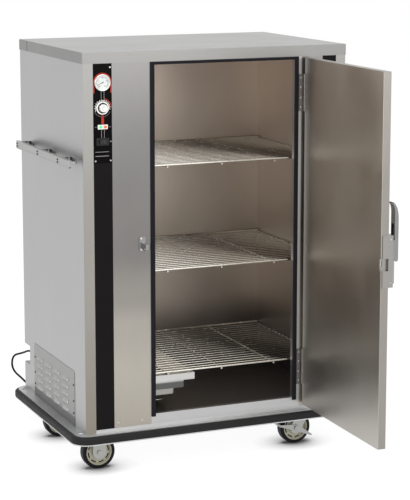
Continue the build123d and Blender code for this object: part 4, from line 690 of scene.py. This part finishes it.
def dial_number(name, text, centre, radius, turn, height, y, material):
    """A number on a dial, standing upright at its place round the centre."""
    curve = bpy.data.curves.new(name, "FONT")
    curve.body = text
    curve.size = height
    curve.align_x = "CENTER"
    curve.align_y = "CENTER"
    curve.extrude = 0.0001
    curve.resolution_u = 3
    curve.materials.append(material)
    made = bpy.data.objects.new(name, curve)
    made.location = (
        centre[0] + radius * math.cos(math.radians(turn)),
        y,
        centre[1] + radius * math.sin(math.radians(turn)),
    )
    made.rotation_euler = (math.radians(90), 0, 0)
    scene.collection.objects.link(made)
    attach(made, "cabinet")
    return made


for step, text in enumerate(("60", "100", "140", "180", "220")):
    turn = 230 - step * 70
    name = f"thermometer_number_{text}"
    dial_number(name, text, thermometer_centre, 0.0165, turn, 0.0048, front_face - 0.00045, black_matt)
on_mark_place = (-0.4225, switch_z)
dial_number("switch_on_mark", "ON", on_mark_place, 0.0, 0, 0.0045, front_face - 0.0002, white_print)

# Chrome bezel round the thermometer, rolled over the case's rim
bezel_middle = 0.0286
bezel_half = 0.0019
bezel_flatness = 0.8
bezel_y = front_face - 0.0034


def bezel_mesh(bm):
    """A ring with a flattened round section."""
    steps, around = 64, 10
    rows = []
    for step in range(steps):
        angle = 2 * math.pi * step / steps
        row = []
        for turn in range(around):
            section = 2 * math.pi * turn / around
            radius = bezel_middle + bezel_half * math.cos(section)
            y = bezel_y + bezel_half * bezel_flatness * math.sin(section)
            x = control_x + radius * math.cos(angle)
            z = thermometer_z + radius * math.sin(angle)
            row.append(bm.verts.new((x, y, z)))
        rows.append(row)
    join_rows(bm, rows + rows[:1])


piece("thermometer_bezel", bezel_mesh, chrome_light, "cabinet", smooth=True)

# Knob: a dark ring of painted shade on the white skirt, for the shadow between skirt and cap; bright insert
# and a pointer line on its cap
knob_skirt_face = front_face - 0.0033
knob_cap_face = front_face - 0.0193
knob_ring_radii = (0.0120, 0.0192)
knob_insert_radii = (0.0032, 0.0105)
pointer_half = 0.0006
pointer_start = 0.0196
pointer_end = 0.0235


def knob_ring(bm):
    depth = (knob_skirt_face - 0.0004, knob_skirt_face + 0.0002)
    ring_sector(bm, thermostat_centre, knob_ring_radii, (0, 360), depth)


piece("knob_ring_painted_shade", knob_ring, black_matt, "thermostat_knob")


def knob_insert(bm):
    depth = (knob_cap_face - 0.0005, knob_cap_face + 0.0005)
    ring_sector(bm, thermostat_centre, knob_insert_radii, (0, 360), depth)


piece("knob_bright_insert", knob_insert, chrome_light, "thermostat_knob")


def knob_pointer(bm):
    box_mesh(
        bm,
        (control_x - pointer_half, control_x + pointer_half),
        (knob_skirt_face - 0.0005, knob_skirt_face),
        (thermostat_z + pointer_start, thermostat_z + pointer_end),
    )


piece("knob_pointer", knob_pointer, red_print, "thermostat_knob")


# Pilot lenses: small pillowed caps over the two windows
lens_half_x = 0.0077
lens_half_z = 0.0064
lens_rim_y = front_face - 0.0021
lens_crown = 0.0018
lens_offset = 0.009


def lens_cap(bm, centre_x):
    """A small cap that bulges towards its middle."""
    steps = 8
    rows = []
    for row_step in range(steps + 1):
        row = []
        for column_step in range(steps + 1):
            across = 2 * row_step / steps - 1
            up = 2 * column_step / steps - 1
            crown = (1 - across**4) * (1 - up**4)
            y = lens_rim_y - lens_crown * crown**0.5
            x = centre_x + lens_half_x * across
            row.append(bm.verts.new((x, y, indicator_z + lens_half_z * up)))
        rows.append(row)
    join_rows(bm, rows[::-1], around=False)


def glowing(name, colour, strength):
    """Coloured plastic with a little light of its own."""
    material = moulded(name, colour, 0.25, 400.0, 0.04, coat=0.5, blotch=0.1)
    shader = next(node for node in material.node_tree.nodes if node.type == "BSDF_PRINCIPLED")
    shader.inputs["Emission Color"].default_value = (*colour, 1.0)
    shader.inputs["Emission Strength"].default_value = strength
    return material


lens_green = glowing("lens_green", (0.04, 0.75, 0.20), 0.35)
lens_orange = glowing("lens_orange", (0.85, 0.08, 0.01), 0.35)
for name, lens_x, lens_material in (
    ("pilot_lens_left", control_x - lens_offset, lens_green),
    ("pilot_lens_right", control_x + lens_offset, lens_orange),
):
    piece(name, lambda bm, lens_x=lens_x: lens_cap(bm, lens_x), lens_material, "cabinet", smooth=True)


# Cross recesses in every screw head, drawn as dark crosses of painted shade
screw_reach = 0.0022
recess_length = 0.0028
recess_width = 0.0008
recess_proud = 0.0001
recess_depth = 0.0004


def cross_recess(bm, place, outward):
    """Two crossed dark slots of painted shade on a head that faces outward, along -X or -Y."""
    for long_first in (True, False):
        half_a = recess_length if long_first else recess_width / 2
        half_b = recess_width / 2 if long_first else recess_length
        up_span = (place[2] - half_b, place[2] + half_b)
        if outward == "x":
            depth = (place[0] - recess_proud, place[0] + recess_depth)
            box_mesh(bm, depth, (place[1] - half_a, place[1] + half_a), up_span)
        else:
            depth = (place[1] - recess_proud, place[1] + recess_depth)
            box_mesh(bm, (place[0] - half_a, place[0] + half_a), depth, up_span)


front_screws = [(-0.424, 1.510), (-0.424, 1.1716), (-0.482, 1.1716), (-0.402, 0.186), (-0.308, 0.186)]
vent_screws = [(y, z) for y in (-0.235, 0.229) for z in (0.312, 0.25, 0.203)]
bracket_bends = (0.249, -0.002, -0.238)
bar_middle_z = 1.166
bar_outer_x = -0.590
bar_screw_setback = 0.020
bar_screws = [
    (bend - bar_screw_setback, bar_middle_z + rise) for bend in bracket_bends for rise in (-0.005, 0.005)
]


def all_recesses(bm):
    for x, z in front_screws:
        cross_recess(bm, (x, front_face - screw_reach, z), "y")
    for y, z in vent_screws:
        cross_recess(bm, (body_left - 0.0015 - screw_reach, y, z), "x")
    for y, z in bar_screws:
        cross_recess(bm, (bar_outer_x - screw_reach, y, z), "x")


piece("screw_recess_painted_shade", all_recesses, black_matt, "cabinet")


def domed_head(bm, centre, radius, height, axis, sides=20, rings=4, flat_sides=False):
    """A screw or bolt head on a face, bulging along the axis; hexagonal when flat_sides is set."""
    axis = Vector(axis).normalized()
    side_way = axis.orthogonal().normalized()
    up_way = axis.cross(side_way)
    count = 6 if flat_sides else sides
    rows = []
    for ring in range(rings + 1):
        turn = math.pi / 2 * ring / rings
        reach = radius * (1.0 if flat_sides and ring < rings - 1 else math.cos(turn * 0.92))
        rise = height * (ring / rings if flat_sides else math.sin(turn))
        row = []
        for step in range(count):
            angle = 2 * math.pi * step / count
            across = side_way * math.cos(angle) + up_way * math.sin(angle)
            row.append(bm.verts.new(Vector(centre) + axis * rise + across * reach))
        rows.append(row)
    join_rows(bm, rows[::-1])
    bm.faces.new(rows[-1])


# Hinge screws on both leaves of both hinges
hinge_middles = (0.326, 1.388)
hinge_screw_rises = (-0.056, -0.020, 0.020, 0.056)
hinge_screw_radius = 0.0036
frame_leaf_x = 0.342
leaf_sheet = 0.002


def frame_hinge_screws(bm):
    for middle in hinge_middles:
        for rise in hinge_screw_rises:
            place = (frame_leaf_x, front_face - leaf_sheet, middle + rise)
            domed_head(bm, place, hinge_screw_radius, 0.0008, (0, -1, 0))


def door_hinge_screws(bm):
    for middle in hinge_middles:
        for rise in hinge_screw_rises:
            place = on_door(0.004, 0.016, middle + rise)
            domed_head(bm, place, hinge_screw_radius, 0.0007, -along_door)


piece("frame_hinge_screws", frame_hinge_screws, chrome_bright, "cabinet", smooth=True)
piece("door_hinge_screws", door_hinge_screws, chrome_bright, "door", smooth=True)


# Caster plate bolts
caster_plates = [(x, y) for x in (rigid_plate_x, swivel_plate_x) for y in caster_rows_y]
plate_bolt_x = 0.040
plate_bolt_y = 0.034
plate_under_z = 0.147
bolt_radius = 0.0072
bolt_height = 0.005


def caster_bolts(bm):
    for plate_x, plate_y in caster_plates:
        for x_side in (-1, 1):
            for y_side in (-1, 1):
                bolt_x = plate_x + x_side * plate_bolt_x
                bolt_y = plate_y + y_side * plate_bolt_y
                place = (bolt_x, bolt_y, plate_under_z)
                domed_head(bm, place, bolt_radius, bolt_height, (0, 0, -1), flat_sides=True)


piece("caster_bolts", caster_bolts, zinc_plate, "cabinet")


# Ribs of the strain relief, smaller towards its end
rib_count = 5
first_rib_y = 0.307
rib_pitch = 0.0048
first_rib_radius = 0.0088
rib_taper = 0.00055
rib_section = ((-0.0012, 0.0), (-0.0006, 0.0008), (0.0006, 0.0008), (0.0012, 0.0))


def relief_ribs(bm):
    middle_x, _, middle_z = cord_route[0]
    steps = 24
    for rib in range(rib_count):
        y = first_rib_y + rib * rib_pitch
        rows = []
        for offset_y, grow in rib_section:
            radius = first_rib_radius - rib * rib_taper + grow
            row = []
            for step in range(steps):
                angle = 2 * math.pi * step / steps
                x = middle_x + radius * math.cos(angle)
                z = middle_z + radius * math.sin(angle)
                row.append(bm.verts.new((x, y + offset_y, z)))
            rows.append(row)
        join_rows(bm, rows[::-1])


piece("relief_ribs", relief_ribs, black_matt, "cabinet", smooth=True)


# Lapped corner piece on the cap's left flange
lap_x = (-0.5318, -0.5308)
lap_y = (0.273, 0.3685)
lap_z = (1.5242, 1.5630)


def cap_corner(bm):
    box_mesh(bm, lap_x, lap_y, lap_z)


piece("cap_corner_lap", cap_corner, steel_top, "cabinet")

# Vent plate with short rounded hoods
hood_half = 0.029
hood_height = 0.0165
hood_reach = 0.0068
hood_middles = (-0.141, -0.039, 0.063, 0.165)
hood_lips = (0.309, 0.280, 0.251, 0.222, 0.193)
plate_out = body_left - 0.0015
plate_y = (-0.246, 0.240)
plate_top = 0.367
plate_corner = 0.010
corner_steps = 8
toe_y = (-0.2457, 0.2397)
toe_foot = 0.1553


def vent_outline():
    """The plate's rounded outline as points across and up, with the toe at its foot."""
    points = []
    middle_z = plate_top - plate_corner
    for middle_y, start in ((plate_y[1] - plate_corner, 0), (plate_y[0] + plate_corner, 90)):
        for step in range(corner_steps + 1):
            angle = math.radians(start + 90 * step / corner_steps)
            across = middle_y + plate_corner * math.cos(angle)
            points.append((across, middle_z + plate_corner * math.sin(angle)))
    return points + [(toe_y[0], toe_foot), (toe_y[1], toe_foot)]


def hood_mesh(bm, middle, lip):
    """One pressed hood: rounded ends, domed top and a mouth under its lower lip, closed by a dark face of
    painted shade.
    """
    columns, levels = 18, 8
    grid = []
    for column in range(columns + 1):
        across = 2 * column / columns - 1
        end_round = (1 - across**4) ** 0.5
        line = []
        for level in range(levels + 1):
            up = level / levels
            reach = hood_reach * end_round * math.cos(math.pi / 2 * up) ** 0.7
            top = hood_height * (0.45 + 0.55 * (1 - across**2) ** 0.5)
            line.append(bm.verts.new((plate_out - reach, middle + hood_half * across, lip + top * up)))
        grid.append(line)
    for first, second in zip(grid, grid[1:]):
        for level in range(levels):
            face = bm.faces.new((first[level], second[level], second[level + 1], first[level + 1]))
            # The rolled lip at the foot lies in its own shadow
            face.material_index = 1 if level == 0 else 2
            face.smooth = True
    mouth = bm.faces.new([line[0] for line in grid])
    mouth.material_index = 1


def vent_mesh(bm):
    """The plate with all its hoods; its three materials are the plate, the painted shade of the lips and
    mouths, and the hoods with their painted highlight.
    """
    front_loop = [bm.verts.new((plate_out, y, z)) for y, z in vent_outline()]
    back_loop = [bm.verts.new((body_left, y, z)) for y, z in vent_outline()]
    bm.faces.new(front_loop)
    bm.faces.new(back_loop[::-1])
    for number in range(len(front_loop)):
        after = (number + 1) % len(front_loop)
        bm.faces.new((front_loop[number], back_loop[number], back_loop[after], front_loop[after]))
    for middle in hood_middles:
        for lip in hood_lips:
            hood_mesh(bm, middle, lip)


# Painted shade for the hood lips and mouths, and a painted highlight: the hoods are coloured lighter than
# the plate
steel_lip_painted_shade = brushed_metal("steel_lip_painted_shade", (0.17, 0.17, 0.165), along_y, roughness=0.45)
steel_hood_painted_highlight = brushed_metal("steel_hood_painted_highlight", (0.375, 0.375, 0.37), along_y, roughness=0.4)
vent_visual = piece("vent_hood_plate", vent_mesh, steel_vent, "cabinet")
vent_visual.data.materials.append(steel_lip_painted_shade)
vent_visual.data.materials.append(steel_hood_painted_highlight)
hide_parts("vent_plate")


# Painted shade: thin dark marks in the form of curved slots, on both faces of each hub's web, for the shade
# inside the slots
hub_slot_count = 8
hub_slot_sweep = 30
hub_slot_radii = (0.0375, 0.0425)
web_half = 0.0100
slot_mark_half = 0.0002


def hub_slot_painted_shade(bm, centre):
    for face_y in (centre[1] - web_half, centre[1] + web_half):
        depth = (face_y - slot_mark_half, face_y + slot_mark_half)
        for number in range(hub_slot_count):
            turn = number * 360 / hub_slot_count
            angles = (turn, turn + hub_slot_sweep)
            ring_sector(bm, (centre[0], centre[2]), hub_slot_radii, angles, depth, 10)


for node_name, centre in wheel_places.items():
    piece(node_name + "_slots", lambda bm, centre=centre: hub_slot_painted_shade(bm, centre), black_matt, node_name)

# Soft fold lines along the gasket
gasket_face = front_face - 0.0059
fold_depth = (gasket_face - 0.0004, gasket_face + 0.0004)
upright_folds_x = (-0.2648, -0.2610, -0.2572, 0.3192, 0.3230, 0.3268)
upright_folds_z = (0.197, 1.520)
level_folds_x = (-0.262, 0.324)
level_folds_z = (1.5165, 1.5205)
upright_fold_half = 0.0006
level_fold_half = 0.0005


def gasket_ridges(bm):
    for x in upright_folds_x:
        box_mesh(bm, (x - upright_fold_half, x + upright_fold_half), fold_depth, upright_folds_z)
    for z in level_folds_z:
        box_mesh(bm, level_folds_x, fold_depth, (z - level_fold_half, z + level_fold_half))


piece("gasket_ridges", gasket_ridges, gasket_rubber, "cabinet")


# Screws along the door's free edge and on the latch case
edge_screw_heights = (0.778, 0.932)
face_screw_heights = (0.790, 0.922)
latch_screw_radius = 0.0035


def latch_screws(bm):
    for height in edge_screw_heights:
        domed_head(bm, on_door(0.645, 0.037, height), latch_screw_radius, 0.0012, along_door)
    for height in face_screw_heights:
        domed_head(bm, on_door(0.594, 0.047, height), latch_screw_radius, 0.0014, out_of_door)


piece("latch_screws", latch_screws, chrome_bright, "door", smooth=True)

# Floor and soft studio light
world = bpy.data.worlds.new("studio")
scene.world = world
world.use_nodes = True
world_tree = world.node_tree
world_tree.nodes.clear()
world_out = world_tree.nodes.new("ShaderNodeOutputWorld")
seen = world_tree.nodes.new("ShaderNodeBackground")
seen.inputs["Color"].default_value = (1.0, 1.0, 1.0, 1.0)
seen.inputs["Strength"].default_value = 1.0
lit = world_tree.nodes.new("ShaderNodeBackground")
lit.inputs["Color"].default_value = (0.97, 0.98, 1.0, 1.0)
lit.inputs["Strength"].default_value = 0.62
rays = world_tree.nodes.new("ShaderNodeLightPath")
glossy_or_camera = world_tree.nodes.new("ShaderNodeMath")
glossy_or_camera.operation = "ADD"
glossy_or_camera.use_clamp = True
any_seen = world_tree.nodes.new("ShaderNodeMath")
any_seen.operation = "ADD"
any_seen.use_clamp = True
world_mix = world_tree.nodes.new("ShaderNodeMixShader")
world_tree.links.new(rays.outputs["Is Camera Ray"], glossy_or_camera.inputs[0])
world_tree.links.new(rays.outputs["Is Glossy Ray"], glossy_or_camera.inputs[1])
world_tree.links.new(glossy_or_camera.outputs["Value"], any_seen.inputs[0])
world_tree.links.new(rays.outputs["Is Transmission Ray"], any_seen.inputs[1])
world_tree.links.new(any_seen.outputs["Value"], world_mix.inputs["Fac"])
world_tree.links.new(lit.outputs["Background"], world_mix.inputs[1])
world_tree.links.new(seen.outputs["Background"], world_mix.inputs[2])
world_tree.links.new(world_mix.outputs["Shader"], world_out.inputs["Surface"])

floor_mesh = bpy.data.meshes.new("floor")
floor_reach = 14.0
floor_corners = [(-floor_reach, -floor_reach, 0), (floor_reach, -floor_reach, 0)]
floor_corners += [(floor_reach, floor_reach, 0), (-floor_reach, floor_reach, 0)]
floor_mesh.from_pydata(floor_corners, [], [(0, 1, 2, 3)])
floor = bpy.data.objects.new("floor", floor_mesh)
scene.collection.objects.link(floor)
floor_material, floor_tree, floor_shader = new_material("floor_white")
floor_shader.inputs["Base Color"].default_value = (0.22, 0.22, 0.22, 1.0)
floor_shader.inputs["Roughness"].default_value = 0.9
floor_shader.inputs["Specular IOR Level"].default_value = 0.0
floor_shader.inputs["Emission Strength"].default_value = 0.88
# Painted contact shadow: the floor's glow is darkened where things come close, by an ambient occlusion node
contact = floor_tree.nodes.new("ShaderNodeAmbientOcclusion")
contact.samples = 16
contact.inputs["Distance"].default_value = 0.115
painted_contact_shadow = spread(floor_tree, contact.outputs["AO"], 0.0, 1.0, 0.50, 0.985)
floor_glow = two_tone(floor_tree, painted_contact_shadow, (0.02, 0.02, 0.021, 1.0), (1.0, 1.0, 1.0, 1.0))
floor_tree.links.new(floor_glow, floor_shader.inputs["Emission Color"])
floor_mesh.materials.append(floor_material)


def soft_lamp(name, location, target, size, power, colour=(1.0, 1.0, 1.0)):
    """A large soft lamp aimed at the target."""
    data = bpy.data.lights.new(name, "AREA")
    data.shape = "RECTANGLE"
    data.size = size[0]
    data.size_y = size[1]
    data.energy = power
    data.color = colour
    lamp = bpy.data.objects.new(name, data)
    lamp.location = location
    aim = Vector(target) - Vector(location)
    lamp.rotation_euler = aim.to_track_quat("-Z", "Y").to_euler()
    scene.collection.objects.link(lamp)
    return lamp


soft_lamp("lamp_over", (-0.6, -1.2, 4.6), (0, 0, 0.8), (3.5, 3.5), 85)
soft_lamp("lamp_left", (-4.8, -1.8, 2.4), (0, 0, 0.8), (3.0, 3.0), 70)
soft_lamp("lamp_front", (1.2, -5.2, 2.6), (0, 0, 0.8), (3.0, 3.0), 60, (1.0, 0.97, 0.93))

scene.view_settings.view_transform = "Standard"
